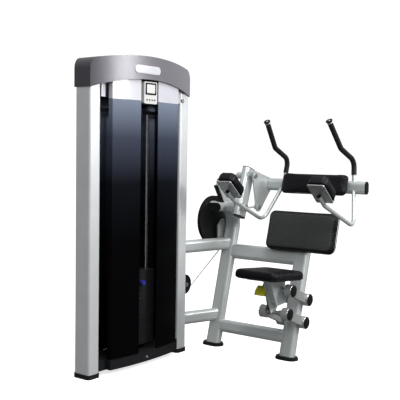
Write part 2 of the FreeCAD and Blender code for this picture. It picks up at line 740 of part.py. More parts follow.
def make_cross_members():
    """The flat bar that ties the posts in front, the rod bar, and the twin plates that hold a pulley."""
    half = S.tower_wide / 2 - S.post_wide - S.joint_gap
    left = S.tower_centre - half
    face = S.tower_side - S.post_deep / 2
    member = block("tower_crossmember", (left, face + 2, S.band_low + 7),
                   (half * 2, S.member_deep, S.member_tall))
    low = S.head_height - S.rod_bar_drop
    bar = block("rod_bar", (left, S.tower_side - S.rod_bar_deep / 2, low),
                (half * 2, S.rod_bar_deep, S.rod_bar_tall))
    holes = [rod("rod_bar_hole_%d" % i, radius + S.joint_gap, S.rod_bar_tall * 3,
                 (x, S.tower_side, low - S.rod_bar_tall), "z")
             for i, (x, radius) in enumerate(rod_places() + [(S.tower_centre, S.lift_tube_radius)])]
    keep("tower_crossmembers", group("tower_crossmembers", member, cut("rod_bar", bar, *holes)))
    plates = []
    for i, side in enumerate((-1, 1)):
        y = S.tower_side + S.pulley_bracket_half * side - 3
        plate = block("pulley_plate_%d" % i, (left, y, S.head_height - 30), (half * 2, 6, 60))
        hole = rod("pulley_plate_hole_%d" % i, S.axle_radius + S.joint_gap, 100,
                   (head_pulley_x(0), S.tower_side - 50, S.head_height))
        plates.append(cut("pulley_plate_%d" % i, plate, hole))
    keep("pulley_brackets", group("pulley_brackets", *plates, *low_ears()))


def low_ears():
    """The two ears on the inner post that hold the low pulley's axle."""
    x, z = float(S.low_pulley_x), float(S.low_pulley_z)
    face = float(S.tower_centre + S.tower_wide / 2 + S.joint_gap)
    outline = [(x, z, 22), (face + 4, z + 45, 4), (face + 4, z - 45, 4)]
    ears = []
    for i, side in enumerate((-1, 1)):
        y = S.tower_side + S.pulley_bracket_half * side
        ear = pad("low_ear_%d" % i, "XZ", lambda s: hull(s, outline), 6, (0, y, 0))
        hole = rod("low_ear_hole_%d" % i, S.axle_radius + S.joint_gap, 100, (x, S.tower_side - 50, z))
        ears.append(cut("low_ear_%d" % i, ear, hole))
    return ears


def rod_places():
    """Where the two guide rods stand, with their radius."""
    return [(S.tower_centre + S.rod_half_gap * side, S.rod_radius) for side in (-1, 1)]


def make_guides():
    """The guide rods and the rubber bumpers under the stack."""
    rods, bumpers = [], []
    low = S.base_high
    top = S.head_height - S.rod_bar_drop + S.rod_bar_tall
    for i, (x, radius) in enumerate(rod_places()):
        rods.append(rod("guide_rod_%d" % i, radius, top - low, (x, S.tower_side, low), "z"))
        bumper = rod("bumper_%d" % i, S.bumper_radius, S.bumper_tall, (x, S.tower_side, low), "z")
        hole = rod("bumper_bore_%d" % i, radius + S.rest_gap, S.bumper_tall, (x, S.tower_side, low), "z")
        bumpers.append(cut("bumper_%d" % i, bumper, hole))
    keep("guide_rods", group("guide_rods", *rods))
    keep("stack_bumpers", group("stack_bumpers", *bumpers))


def plate_low(index):
    """The underside of a weight plate, counted from the bottom."""
    return S.base_high + S.bumper_tall + S.rest_gap + (S.plate_thick + S.plate_gap) * index


def weight_plate(index):
    """One weight plate, with holes for the rods and the lift tube and a channel for the pin."""
    x, y, r = float(S.plate_wide) / 2 - 12, float(S.plate_deep) / 2 - 12, 12

    def outline(sketch):
        hull(sketch, [(-x, -y, r), (x, -y, r), (x, y, r), (-x, y, r)])
        for side in (-1, 1):
            circle(sketch, S.rod_radius + 1, S.rod_half_gap * side)
        circle(sketch, S.lift_tube_radius + S.rest_gap)

    name = "plate_%d" % index
    middle = plate_low(index) + S.plate_thick / 2
    plate = pad(name, "XY", outline, S.plate_thick, (S.tower_centre, S.tower_side, middle))
    channel = rod(name + "_channel", S.selector_radius + 0.5, S.plate_deep / 2 + 5,
                  (S.tower_centre, S.tower_side - S.plate_deep / 2 - 5, middle))
    return cut(name, plate, channel)


def make_stack():
    """The weight plates, split where the pin sits, with the tube that lifts the upper ones."""
    count, lifted = int(float(S.plate_count)), int(float(S.lifted_count))
    plates = [weight_plate(i) for i in range(count)]
    keep("weight_stack", group("weight_stack", *plates[: count - lifted]))
    keep("lifted_plates", group("lifted_plates", *plates[count - lifted :]))
    low, top = plate_low(0) + 2, plate_low(count)
    tube = rod("lift_tube", S.lift_tube_radius, top - low + S.lift_tube_above, (S.tower_centre, S.tower_side, low), "z")
    collar = rod("lift_collar", S.lift_tube_radius * 2, 8, (S.tower_centre, S.tower_side, top), "z")
    bore_low = top + S.lift_tube_above - S.lift_bore_deep
    bore = rod("lift_bore", S.lift_bore, S.lift_bore_deep, (S.tower_centre, S.tower_side, bore_low), "z")
    holes = []
    for i in range(count):
        middle = plate_low(i) + S.plate_thick / 2
        holes.append(rod("lift_hole_%d" % i, S.selector_radius + 0.3, S.lift_tube_radius,
                         (S.tower_centre, S.tower_side - S.lift_tube_radius - 3, middle)))
    keep("lift_rod", cut("lift_rod", fuse("lift_rod", tube, collar), bore, *holes))
    height = plate_low(count - lifted) + S.plate_thick / 2
    reach = S.plate_deep / 2 + S.knob_ahead - (S.lift_tube_radius - 5)
    start = S.tower_side - S.plate_deep / 2 - S.knob_ahead
    shank = rod("selector_shank", S.selector_radius, reach, (S.tower_centre, start, height))
    knob = rod("selector_knob", S.knob_radius, S.knob_long, (S.tower_centre, start, height))
    keep("selector_pin", fuse("selector_pin", shank, knob))


def turned(name, profile, at):
    """A piece turned about the y axis from its half section, given as (radius, y) points."""
    points = [Vector(float(r), float(y), 0) for r, y in profile]
    face = Part.Face(Part.makePolygon(points + points[:1]))
    shape = face.revolve(Vector(0, 0, 0), Vector(0, 1, 0), 360)
    shape.translate(Vector(*[float(v) for v in at]))
    return solid(name, shape)


def pulley(name, radius, groove, at):
    """A grooved pulley with a hub that stands proud of it."""
    half, hub = float(S.pulley_thick) / 2, float(S.pulley_bracket_half) - 4
    bore = S.axle_radius + S.running_gap
    floor = float(S.cable_radius) + 0.4
    keep(name, turned(name, [
        (bore, -hub), (14, -hub), (14, -half + 4), (float(radius) - 12, -half + 4), (float(radius) - 8, -half),
        (radius, -half), (groove, -floor), (groove, floor), (radius, half), (float(radius) - 8, half),
        (float(radius) - 12, half - 4), (14, half - 4), (14, hub), (bore, hub),
    ], at))


def make_pulleys():
    """Three cable pulleys and the fixed pins: their axles, and the seat links' two on the upright."""
    pulley("head_pulley_inner", S.head_pulley, S.head_groove, (head_pulley_x(0), S.tower_side, S.head_height))
    pulley("head_pulley_outer", S.head_pulley, S.head_groove, (head_pulley_x(1), S.tower_side, S.head_height))
    pulley("low_pulley", S.low_pulley, S.low_groove, (S.low_pulley_x, S.tower_side, S.low_pulley_z))
    axles = []
    for i, (x, z, half) in enumerate((
        (head_pulley_x(0), S.head_height, S.pulley_bracket_half + 3),
        (head_pulley_x(1), S.head_height, S.post_deep / 2),
        (S.low_pulley_x, S.low_pulley_z, S.pulley_bracket_half + 3),
    )):
        pin = rod("axle_%d" % i, S.axle_radius, half * 2, (x, S.tower_side - half, z))
        heads = [rod("axle_head_%d_%d" % (i, j), S.axle_radius + 5, 5, (x, y, z))
                 for j, y in enumerate((S.tower_side - half - 5.2, S.tower_side + half + 0.2))]
        links = [rod("axle_end_%d_%d" % (i, j), S.axle_radius, 0.2, (x, y, z))
                 for j, y in enumerate((S.tower_side - half - 0.2, S.tower_side + half))]
        axles.append(fuse("axle_%d" % i, pin, *heads, *links))
    half = S.tube_wide / 2 + S.link_gap + S.link_thick
    for i, ((x, z), _) in enumerate(seat_pivots()):
        axles.append(rod("root_pin_%d" % i, S.pin_radius, half * 2, (x, UPRIGHT_Y - half, z)))
    keep("fixed_pins", group("fixed_pins", *axles))


def lobe_centre():
    """The cam's lower lobe, which the cable leaves, in the xz plane."""
    return PIVOT.x + float(S.cam_lobe_x), PIVOT.z + float(S.cam_lobe_z)


def cable_tangent():
    """The cable's direction under the low pulley and the cam's lobe, which it touches from below."""
    x, z = lobe_centre()
    dx, dz = x - float(S.low_pulley_x), z - float(S.low_pulley_z)
    small = float(S.low_groove + S.cable_radius)
    large = float(S.cam_lobe - S.groove_depth + S.cable_radius + S.cable_slack)
    angle = math.atan2(dz, dx) - math.asin((large - small) / math.hypot(dx, dz))
    return Vector(math.cos(angle), 0, math.sin(angle)), small, large


def make_cable():
    """The cable from the lift tube, over the head pulleys, under the low one and up to the cam."""
    along, small, large = cable_tangent()
    under = Vector(along.z, 0, -along.x)
    y, r = float(S.tower_side), float(S.head_groove + S.cable_radius)
    top = float(S.head_height) + r
    count = int(float(S.plate_count))
    start = Vector(float(S.tower_centre), y, float(plate_low(count) + S.lift_tube_above) - 20)
    low = Vector(float(S.low_pulley_x), y, float(S.low_pulley_z))
    down = head_pulley_x(1) + r
    x, z = lobe_centre()
    lobe = Vector(x, y, z)
    leave, reach = low + under * small, lobe + under * large
    bottom = low + Vector(-1, 0, 0) * small
    middle = (under * 1 + Vector(-1, 0, 0)).normalize() * small + low
    head = float(S.head_height)

    def arc(cx, cz, radius, a, b):
        spots = [Vector(cx + radius * math.cos(math.radians(t)), y, cz + radius * math.sin(math.radians(t)))
                 for t in (a, (a + b) / 2, b)]
        return Part.Arc(*spots).toShape()

    edges = [
        Part.makeLine(start, Vector(start.x, y, head)),
        arc(head_pulley_x(0), head, r, 180, 90),
        Part.makeLine(Vector(head_pulley_x(0), y, top), Vector(head_pulley_x(1), y, top)),
        arc(head_pulley_x(1), head, r, 90, 0),
        Part.makeLine(Vector(down, y, head), bottom),
        Part.Arc(bottom, middle, leave).toShape(),
        Part.makeLine(leave, reach),
    ]
    keep("cable", solid("cable", round_bar(Part.Wire(edges), S.cable_radius)))
    first = math.atan2(under.z, under.x) + math.radians(0.5)
    spots = [lobe + Vector(math.cos(t), 0, math.sin(t)) * large
             for t in (first, first + math.radians(25), first + math.radians(50))]
    wrap = Part.Wire([Part.Arc(*spots).toShape()])
    keep("cable_end", solid("cable_end", round_bar(wrap, S.cable_radius)))


def make_counter():
    """The repetition counter's housing and its four buttons."""
    wide, tall = S.counter_wide, S.counter_tall
    back = S.tower_side - S.post_deep / 2 + 2 - S.joint_gap
    deep = back - S.counter_front
    x, z, r = float(wide) / 2 - 8, float(tall) / 2 - 8, 8
    middle = S.band_low - 15 + tall / 2
    housing = pad("counter", "XZ", lambda s: hull(s, [(-x, -z, r), (x, -z, r), (x, z, r), (-x, z, r)]), deep,
                  (S.tower_centre, S.counter_front + deep / 2, middle))
    wells = []
    for i in range(4):
        spot = S.tower_centre + S.button_step * (i - 1.5)
        height = middle - tall / 2 + S.button_height
        wells.append(rod("button_well_%d" % i, S.button_radius + S.rest_gap, 7, (spot, S.counter_front - 1, height)))
        keep("counter_button_%d" % (i + 1), rod("button_%d" % i, S.button_radius, 6.5,
                                                (spot, S.counter_front - 3.5, height)))
    keep("counter_housing", cut("counter_housing", housing, *wells))


# ---- swinging arm ------------------------------------------------------------------------------

ARM_TURN = Rotation(Vector(0, 1, 0), float(S.arm_lean))


def arm_point(across, along, side=0):
    """A place by its distances across and along the leaning arm from the pivot."""
    spot = ARM_TURN.multVec(Vector(float(across), 0, float(along)))
    return Vector(PIVOT.x + spot.x, float(side), PIVOT.z + spot.z)


def on_pivot(name, radius, y0, y1):
    """A cylinder on the pivot's axis between two places along it."""
    return rod(name, radius, y1 - y0, (PIVOT.x, y0, PIVOT.z))


def on_bolt(name, radius, y0, y1):
    """A cylinder on the arm's top bolt between two places along it."""
    spot = arm_point(S.arm_set_back, S.bolt_above)
    return rod(name, radius, y1 - y0, (spot.x, y0, spot.z))


def arm_solid(grow):
    """The arm's full section, grown all round."""
    low, high = -float(S.arm_below), float(S.arm_above)
    profile = flat_oval_wire(
        S.tube_wide + 2 * float(grow), S.arm_thick + 2 * float(grow),
        arm_point(S.arm_set_back, low, -float(S.arm_side)),
        ARM_TURN.multVec(Vector(1, 0, 0)), Vector(0, 1, 0),
    )
    return Part.Face(profile).extrude(ARM_TURN.multVec(Vector(0, 0, 1)) * (high - low))


def make_arm():
    """The leaning arm tube with its welded hub, bolt boss and lug; returns its end caps."""
    gap = S.joint_gap
    tube = oval_tube("arm_tube", S.tube_wide, S.arm_thick, S.arm_above + S.arm_below)
    middle = (S.arm_above - S.arm_below) / 2
    tube.Placement = FreeCAD.Placement(arm_point(S.arm_set_back, middle, -S.arm_side), ARM_TURN)
    inner_face = S.arm_thick / 2 - S.arm_side
    hub = on_pivot("arm_hub", S.collar_radius, inner_face - 2, -S.collar_end - S.side_gap)
    hub_inside = on_pivot("arm_sleeve", S.shaft_radius + 6, -S.arm_side - S.arm_thick / 2, inner_face)
    boss = on_bolt("arm_boss", S.boss_radius, inner_face - 2, inner_face + 50)
    boss_inside = on_bolt("arm_bolt_sleeve", S.bolt_radius + 5, -S.arm_side - S.arm_thick / 2, inner_face)
    whole = fuse("swing_arm", tube, hub, hub_inside, boss, boss_inside, lug())
    bores = [on_pivot("arm_bore", S.shaft_radius + gap, -300, 0),
             on_bolt("arm_bolt_bore", S.bolt_radius + gap, -300, 0)]
    keep("swing_arm", cut("swing_arm", whole, *bores))
    caps = []
    for i, (along, side) in enumerate(((S.arm_above, 1), (-S.arm_below, -1))):
        spot = arm_point(S.arm_set_back, along + S.cap_thick / 2 * side, -S.arm_side)
        caps.append(pad("arm_cap_%d" % i, "XY", lambda s: stadium(s, S.tube_wide, S.arm_thick), S.cap_thick,
                        spot, ARM_TURN))
    return caps


def make_pivot():
    """The main shaft with its end collars; returns the arm's top bolt with its washers."""
    gap = S.joint_gap
    near, far = -S.bracket_side, S.cam_side + S.cam_thick / 2
    shaft = on_pivot("shaft", S.shaft_radius, near, far + 8)
    ends = [on_pivot("shaft_nut_near", S.shaft_radius + 7, near - 6, near),
            on_pivot("shaft_nut_far", S.shaft_radius + 7, far + gap, far + 8)]
    keep("pivot_shaft", fuse("pivot_shaft", shaft, *ends))
    outer_face = -S.arm_side - S.arm_thick / 2
    inner = S.arm_thick / 2 - S.arm_side + 50
    plate_out = -S.bracket_side - S.bracket_thick
    bolt = on_bolt("bolt_shank", S.bolt_radius, plate_out - 8, inner + 8)
    heads = [on_bolt("bolt_head", S.bolt_radius + 7, plate_out - 8, plate_out - gap),
             on_bolt("bolt_nut", S.bolt_radius + 6, inner + gap, inner + 8)]
    spacer = on_bolt("bolt_spacer", S.bolt_radius + 9, -S.bracket_side + gap, outer_face - gap)
    return fuse("top_pivot_bolt", bolt, spacer, *heads)


def make_cam():
    """The two-lobed cam with a cable groove round its rim."""
    ax, az = S.cam_round_x, S.cam_round_z
    bx, bz = S.cam_lobe_x, S.cam_lobe_z

    def rim(inset):
        return lambda s: hull(s, [(ax, az, S.cam_round - inset), (bx, bz, S.cam_lobe - inset)])

    at = (PIVOT.x, S.cam_side, PIVOT.z)
    core = pad("cam_core", "XZ", rim(S.groove_depth), S.cam_thick, at)
    flanges = []
    for i, side in enumerate((-1, 1)):
        y = S.cam_side + (S.cam_thick - S.cam_flange) / 2 * side
        flanges.append(pad("cam_flange_%d" % i, "XZ", rim(0), S.cam_flange, (PIVOT.x, y, PIVOT.z)))
    hub = on_pivot("cam_hub", S.collar_radius, S.collar_end + S.side_gap, S.cam_side)
    whole = fuse("cam", core, hub, *flanges)
    keep("cam", cut("cam", whole, on_pivot("cam_bore", S.shaft_radius + S.joint_gap, 0, 300)))


def brace_end():
    """The lower pin of the beam's bracket, straight behind the pivot."""
    return PIVOT.x + float(S.brace_pin_ahead), PIVOT.z


def make_bracket():
    """The link from the pivot to the V plate's lower pin; returns the plate and the pin."""
    px, pz = brace_end()
    bolt = arm_point(S.arm_set_back, S.bolt_above)
    bx, bz, r = float(S.beam_x), float(S.beam_z), 22
    outline = [(px, pz, 30), (bx, bz - 18, r), (bx, bz + 20, r), (bolt.x - 16, bolt.z + 22, 14)]
    y = -S.bracket_side - S.bracket_thick / 2
    plate = pad("bracket_plate", "XZ", lambda s: hull(s, outline), S.bracket_thick, (0, y, 0))
    holes = [on_bolt("bracket_bolt_hole", S.bolt_radius + S.joint_gap, -300, 0),
             rod("bracket_pin_hole", S.bolt_radius + S.joint_gap, 300, (px, -300, pz))]
    bracket = cut("beam_bracket", plate, *holes)
    face = -S.bracket_side + S.joint_gap
    eyes = [on_pivot("brace_eye_near", 24, face, face + 14), rod("brace_eye_far", 18, 14, (px, face, pz))]
    bar = rod("brace_bar", S.brace_radius - 4, S.brace_pin_ahead, (PIVOT.x, face + 7, PIVOT.z), "x")
    bores = [on_pivot("brace_bore", S.shaft_radius + S.joint_gap, -300, 0),
             rod("brace_pin_bore", S.bolt_radius + S.joint_gap, 300, (px, -300, pz))]
    keep("brace_link", cut("brace_link", fuse("brace_link", bar, *eyes), *bores))
    pin = rod("brace_shank", S.bolt_radius, 38, (px, -S.bracket_side - S.bracket_thick - 6, pz))
    head = rod("brace_head", S.bolt_radius + 6, 6 - S.joint_gap, (px, -S.bracket_side - S.bracket_thick - 6, pz))
    tail = rod("brace_tail", S.bolt_radius + 6, 8, (px, face + 14 + S.joint_gap, pz))
    return bracket, fuse("brace_pin", pin, head, tail)


LUG = ((-233, 153, 8), (-165, 50, 8), (-30, 45, 6), (20, 105, 6))


def lug():
    """The triangular plate welded to the arm's front edge."""
    outline = [(PIVOT.x + x, PIVOT.z + z, r) for x, z, r in LUG]
    plate = pad("lug", "XZ", lambda s: hull(s, outline), 6, (0, S.lug_side, 0))
    return cut("lug", plate, solid("lug_cope", arm_solid(-0.5 * float(S.tube_wall))))


def make_lug_strip():
    """The rubber strip along the lug's front edge."""
    (x0, z0, r), (x1, z1, _) = LUG[:2]
    run = Vector(x0 - x1, 0, z0 - z1)
    out = Vector(-run.z, 0, run.x).normalize() * (r + 4 + float(S.joint_gap))
    middle = Vector(PIVOT.x + (x0 + x1) / 2, float(S.lug_side), PIVOT.z + (z0 + z1) / 2)
    turn = Rotation(Vector(0, 1, 0), math.degrees(math.atan2(run.x, run.z)))
    half = run.Length / 2
    keep("lug_strip", pad("strip", "XZ", lambda s: hull(s, [(0, -half, 4), (0, half, 4)]), 28,
                          middle + out, turn))


# ---- beam, handles and pads --------------------------------------------------------------------


def elbow_point(along, below):
    """A place on the elbow plate's middle line, down its slope and under it, in the xz plane."""
    slope = math.radians(float(S.elbow_slope))
    x = float(S.elbow_x) + float(along) * math.cos(slope) - float(below) * math.sin(slope)
    return x, float(S.elbow_z) - float(along) * math.sin(slope) - float(below) * math.cos(slope)


def handle_points(side):
    """The bent bar's corners on one side of the user, from the grip's top to the elbow plate."""
    bar_end, under = elbow_point(0, S.elbow_bar_below), elbow_point(S.elbow_bar_run, S.elbow_bar_below)
    corners = [
        (S.grip_top_x, S.grip_top_out, S.neck_height + S.grip_top_above),
        (S.grip_bend_x, S.grip_bend_out, S.neck_height + S.grip_bend_above),
        (S.grip_low_x, S.grip_low_out, S.neck_height + S.grip_low_above),
        (S.beam_x, S.handle_cross_out, S.beam_z + S.handle_cross_above),
        (S.handle_foot_x, S.elbow_out + S.handle_foot_out, S.neck_height - S.handle_foot_below),
        (under[0], S.elbow_out, under[1]),
        (bar_end[0], S.elbow_out, bar_end[1]),
    ]
    return [Vector(float(x), UPRIGHT_Y + side * float(y), float(z)) for x, y, z in corners]


BENDS = (S.grip_bend_round, S.grip_low_round, S.handle_cross_round, S.handle_foot_round,
         S.handle_plate_round)


def handle_solid(side, radius):
    """The handle's bar, at any thickness."""
    return round_bar(rounded_path(handle_points(side), BENDS), radius)


def make_handles():
    """The two bent bars, each with its grip; returns the dark plugs in their ends."""
    bars, grips, plugs = [], [], []
    for name, side in (("handle_left", -1), ("handle_right", 1)):
        bars.append(solid(name, handle_solid(side, S.bar_radius)))
        spots = handle_points(side)
        top = spots[0] + (spots[1] - spots[0]).normalize() * float(S.grip_start)
        low = spots[2] + (spots[3] - spots[2]) * 0.55
        path = rounded_path([top, spots[1], spots[2], low], BENDS[:2])
        grip = round_bar(path, S.grip_radius).cut(handle_solid(side, S.bar_radius + S.joint_gap))
        grips.append(solid(name + "_grip", grip))
        for i, (end, toward) in enumerate(((spots[-1], spots[-2]), (spots[0], spots[1]))):
            out = (end - toward).normalize()
            plug = Part.makeCylinder(float(S.bar_radius), float(S.plug_thick), end + out * float(S.joint_gap), out)
            plugs.append(solid("%s_plug_%d" % (name, i), plug))
    keep("grips", group("grips", *grips))
    keep("handle_bars", group("handle_bars", *bars))
    return plugs


def make_beam(bracket):
    """The cross beam with its V plate and pad plate, holed for the handle bars; returns its end cap."""
    length = S.beam_end - S.beam_start
    tube = oval_tube("beam", S.beam_tall, S.beam_thick, length)
    turn = Rotation(Vector(1, 0, 0), 90).multiply(Rotation(Vector(0, 0, 1), 90))
    tube.Placement = FreeCAD.Placement(
        Vector(float(S.beam_x), -float(S.beam_start + length / 2), float(S.beam_z)), turn)
    holes = [solid("beam_hole_%d" % i, handle_solid(side, S.bar_radius + S.joint_gap))
             for i, side in enumerate((-1, 1))]
    keep("beam", cut("beam", fuse("beam", tube, bracket, upper_pad_plate()), *holes))
    cap = pad("beam_cap", "XZ", lambda s: stadium(s, S.beam_tall, S.beam_thick, True), S.cap_thick,
              (S.beam_x, -S.beam_end - S.cap_thick / 2, S.beam_z))
    return cap


def rounded_pad(name, plane, wide, tall, corner, thick, at, turn=None):
    """A cushion's plain solid with rounded corners."""
    x, y, r = float(wide) / 2 - float(corner), float(tall) / 2 - float(corner), float(corner)
    return pad(name, plane, lambda s: hull(s, [(-x, -y, r), (x, -y, r), (x, y, r), (-x, y, r)]), thick, at, turn)


def beam_solid(grow):
    """The beam's full section, grown all round."""
    profile = flat_oval_wire(
        S.beam_tall + 2 * float(grow), S.beam_thick + 2 * float(grow),
        Vector(float(S.beam_x), -float(S.beam_start), float(S.beam_z)), Vector(0, 0, 1), Vector(1, 0, 0),
    )
    return Part.Face(profile).extrude(Vector(0, -float(S.beam_end - S.beam_start), 0))


PAD_TURN = Rotation(Vector(0, 1, 0), float(S.upper_pad_tilt))


def upper_pad_place(depth):
    """The middle of the upper pad's front face, moved back through the pad."""
    face = Vector(float(S.upper_pad_x), UPRIGHT_Y, float(S.upper_pad_z))
    return face + PAD_TURN.multVec(Vector(1, 0, 0)) * float(depth)


def upper_pad_plate():
    """The plate behind the upper pad, with two lugs that meet the beam."""
    thick = 3
    back = S.upper_pad_thick + S.rest_gap
    plate = rounded_pad("upper_pad_plate", "YZ", 300, 110, 12, thick, upper_pad_place(back + thick / 2), PAD_TURN)
    lugs = []
    for i, side in enumerate((-1, 1)):
        spot = upper_pad_place(back + 1) + Vector(0, side * 120, 0)
        lugs.append(block("upper_pad_lug_%d" % i, (0, -3, -38), (36, 6, 76), spot, PAD_TURN))
    inside = solid("upper_pad_cope", beam_solid(-0.5 * float(S.tube_wall)))
    return cut("upper_pad_plate", fuse("upper_pad_plate", plate, *lugs), inside)


def make_upper_pad():
    """The neck roll in front of the beam."""
    keep("upper_pad", rounded_pad("upper_pad_form", "YZ", S.upper_pad_wide, S.upper_pad_tall, S.upper_pad_corner,
                                  S.upper_pad_thick, upper_pad_place(S.upper_pad_thick / 2), PAD_TURN))


def make_elbow_rests():
    """The sloping plates at the handles' lower ends, each with a welded web and a cushion."""
    turn = Rotation(Vector(0, 1, 0), float(S.elbow_slope))
    normal = turn.multVec(Vector(0, 0, 1))
    wide, long, thick = S.elbow_plate_wide, S.elbow_plate_long, S.elbow_plate_thick
    plates, cushions = [], []
    for i, side in enumerate((-1, 1)):
        middle = Vector(float(S.elbow_x), UPRIGHT_Y + side * float(S.elbow_out), float(S.elbow_z))
        plate = rounded_pad("elbow_plate_%d" % i, "XY", long, wide, 8, thick, middle, turn)
        reach = S.elbow_web_deep
        web = block("elbow_web_%d" % i, (5, -3, -reach), (S.elbow_bar_run - 25, 6, reach), middle, turn)
        cope = solid("elbow_cope_%d" % i, handle_solid(side, S.bar_radius + S.joint_gap))
        plates.append(cut("elbow_plate_%d" % i, fuse("elbow_plate_%d" % i, plate, web), cope))
        rise = float(thick / 2 + S.rest_gap + S.elbow_pad_thick / 2)
        margin = S.elbow_margin * 2
        cushions.append(rounded_pad("elbow_cushion_%d" % i, "XY", long + margin, wide + margin, 28,
                                    S.elbow_pad_thick, middle + normal * rise, turn))
    keep("elbow_plates", group("elbow_plates", *plates))
    keep("elbow_pads", group("elbow_pads", *cushions))


def lean_point(out, height):
    """A place a distance out from the front upright's centre plane, at a height."""
    along = (float(height) + float(out) * math.sin(LEAN)) / math.cos(LEAN)
    return Vector(
        along * math.sin(LEAN) + float(out) * math.cos(LEAN), UPRIGHT_Y,
        along * math.cos(LEAN) - float(out) * math.sin(LEAN),
    )


def make_back_pad():
    """The back cushion on the front upright's plate."""
    out = S.tube_thick / 2 + S.back_plate_thick + S.rest_gap + S.back_pad_thick / 2
    keep("back_pad", rounded_pad("back_pad_form", "YZ", S.back_pad_wide, S.back_pad_tall, S.back_pad_corner,
                                 S.back_pad_thick, lean_point(-out, S.back_pad_height), LEAN_TURN))


# ---- seat --------------------------------------------------------------------------------------


def seat_pivots():
    """The four pivots of the seat's parallel links: two on the upright, two on the seat's bracket."""
    spots = []
    for height in (S.upper_pivot_height, S.lower_pivot_height):
        x, z = upright_x(height), float(height)
        spots.append(((x, z), (x - float(S.link_length_x), z + float(S.link_drop))))
    return spots


def link_arm(name, root, carrier, side):
    """One link: a round hub at each end, joined by a narrower bar whose outer face lies deeper."""
    inner = S.tube_wide / 2 + S.link_gap
    middle = UPRIGHT_Y + (inner + S.link_thick / 2) * side
    bar_middle = UPRIGHT_Y + (inner + S.link_bar_thick / 2) * side
    hubs = [pad("%s_hub_%d" % (name, i), "XZ", lambda s: circle(s, S.link_radius), S.link_thick,
                (x, middle, z)) for i, (x, z) in enumerate((root, carrier))]
    outline = [(x, z, S.link_bar_half) for x, z in (root, carrier)]
    bar = pad(name + "_bar", "XZ", lambda s: hull(s, outline), S.link_bar_thick, (0, bar_middle, 0))
    bores = [rod("%s_bore_%d" % (name, i), S.pin_radius + S.running_gap, 400, (x, UPRIGHT_Y - 200, z))
             for i, (x, z) in enumerate((root, carrier))]
    return cut(name, fuse(name, bar, *hubs), *bores)


def make_links():
    """Two pairs of parallel links, each with dark caps over its pins."""
    out = S.tube_wide / 2 + S.link_gap + S.link_thick + S.joint_gap
    for name, (root, carrier) in zip(("upper_links", "lower_links"), seat_pivots()):
        arms, caps = [], []
        for i, side in enumerate((-1, 1)):
            arms.append(link_arm("%s_%d" % (name, i), root, carrier, side))
            start = UPRIGHT_Y + (out if side > 0 else -out - S.pin_cap_thick)
            caps += [rod("%s_cap_%d_%d" % (name, i, j), S.pin_cap, S.pin_cap_thick, (x, start, z))
                     for j, (x, z) in enumerate((root, carrier))]
        keep(name, group(name, *arms))
        keep(name[:-1] + "_caps", group(name + "_caps", *caps))


def lever_place():
    """Where the release lever's arm starts along its pin: just outside the bracket's far cheek."""
    return UPRIGHT_Y + S.seat_bracket_half + S.rest_gap


def make_seat_pins():
    """The links' two pins through the seat's bracket, with a spacer between lever and link."""
    pins = []
    half = S.tube_wide / 2 + S.link_gap + S.link_thick
    for i, (_, (x, z)) in enumerate(seat_pivots()):
        pin = rod("seat_pin_%d" % i, S.pin_radius, half * 2, (x, UPRIGHT_Y - half, z))
        low = S.seat_bracket_half + S.rest_gap * (2 if i else 1) + (S.lever_arm_thick if i else 0)
        high = S.tube_wide / 2 + S.link_gap - S.rest_gap
        near = S.seat_bracket_half + S.rest_gap
        pins.append(fuse(
            "seat_pin_%d" % i, pin,
            rod("far_spacer_%d" % i, S.spacer_radius, high - low, (x, UPRIGHT_Y + low, z)),
            rod("near_spacer_%d" % i, S.spacer_radius, high - near, (x, UPRIGHT_Y - high, z)),
        ))
    keep("seat_pins", group("seat_pins", *pins))


SEAT_TURN = Rotation(Vector(0, 1, 0), float(S.seat_tilt))


def under_seat(x, depth=0):
    """A place at a given x, some depth below the tilted seat's underside, in the xz plane."""
    slope = math.tan(math.radians(float(S.seat_tilt)))
    return x, float(S.seat_top - S.seat_thick - S.rest_gap) - (x - float(S.seat_x)) * slope - depth


def make_seat():
    """The tilted seat on its bracket: two cheeks, a web between them and a top plate."""
    (_, (x1, z1)), (_, (x3, z3)) = seat_pivots()
    half, sheet_thick = S.seat_bracket_half, S.seat_web
    front, back = under_seat(x1 - 130, 14), under_seat(x1 + 10, 14)
    far = [(x3, z3, 22), (x1 + 30, z1 - 60, 18), (x1 + 12, z1, 22), (*back, 12), (*front, 12), (x3 - 40, z3 + 60, 10)]
    near = [(x3 - 25, z3 + 50, 6), (x1 + 30, z1 - 75, 8), (x1 + 35, z1 - 50, 10), (*back, 12), (*front, 12)]
    cheeks = []
    for i, (side, outline) in enumerate(((-1, near), (1, far))):
        y = UPRIGHT_Y + (half - sheet_thick / 2) * side
        cheeks.append(pad("cheek_%d" % i, "XZ", lambda s: hull(s, outline), sheet_thick, (0, y, 0)))
    web = pad("seat_web", "XZ", lambda s: hull(s, [(x3 - 18, z3 + 62, 3), (front[0] + 2, front[1], 3)]), half * 2,
              (0, UPRIGHT_Y, 0))
    middle = Vector(float(S.seat_x), UPRIGHT_Y, float(S.seat_top - S.seat_thick / 2))
    plate = block("seat_plate", (-S.seat_deep / 3, -80, -S.seat_thick / 2 - S.rest_gap - 6),
                  (S.seat_deep * 2 / 3, 160, 6), middle, SEAT_TURN)
    bores = [rod("cheek_bore_%d" % i, S.pin_radius + S.joint_gap, 400, (x, UPRIGHT_Y - 200, z))
             for i, (x, z) in enumerate(((x1, z1), (x3, z3)))]
    keep("seat_bracket", cut("seat_bracket", fuse("seat_bracket", *cheeks, web, plate), *bores))
    keep("seat_pad", rounded_pad("seat_pad_form", "XY", S.seat_deep, S.seat_wide, S.seat_corner, S.seat_thick,
                                 middle, SEAT_TURN))


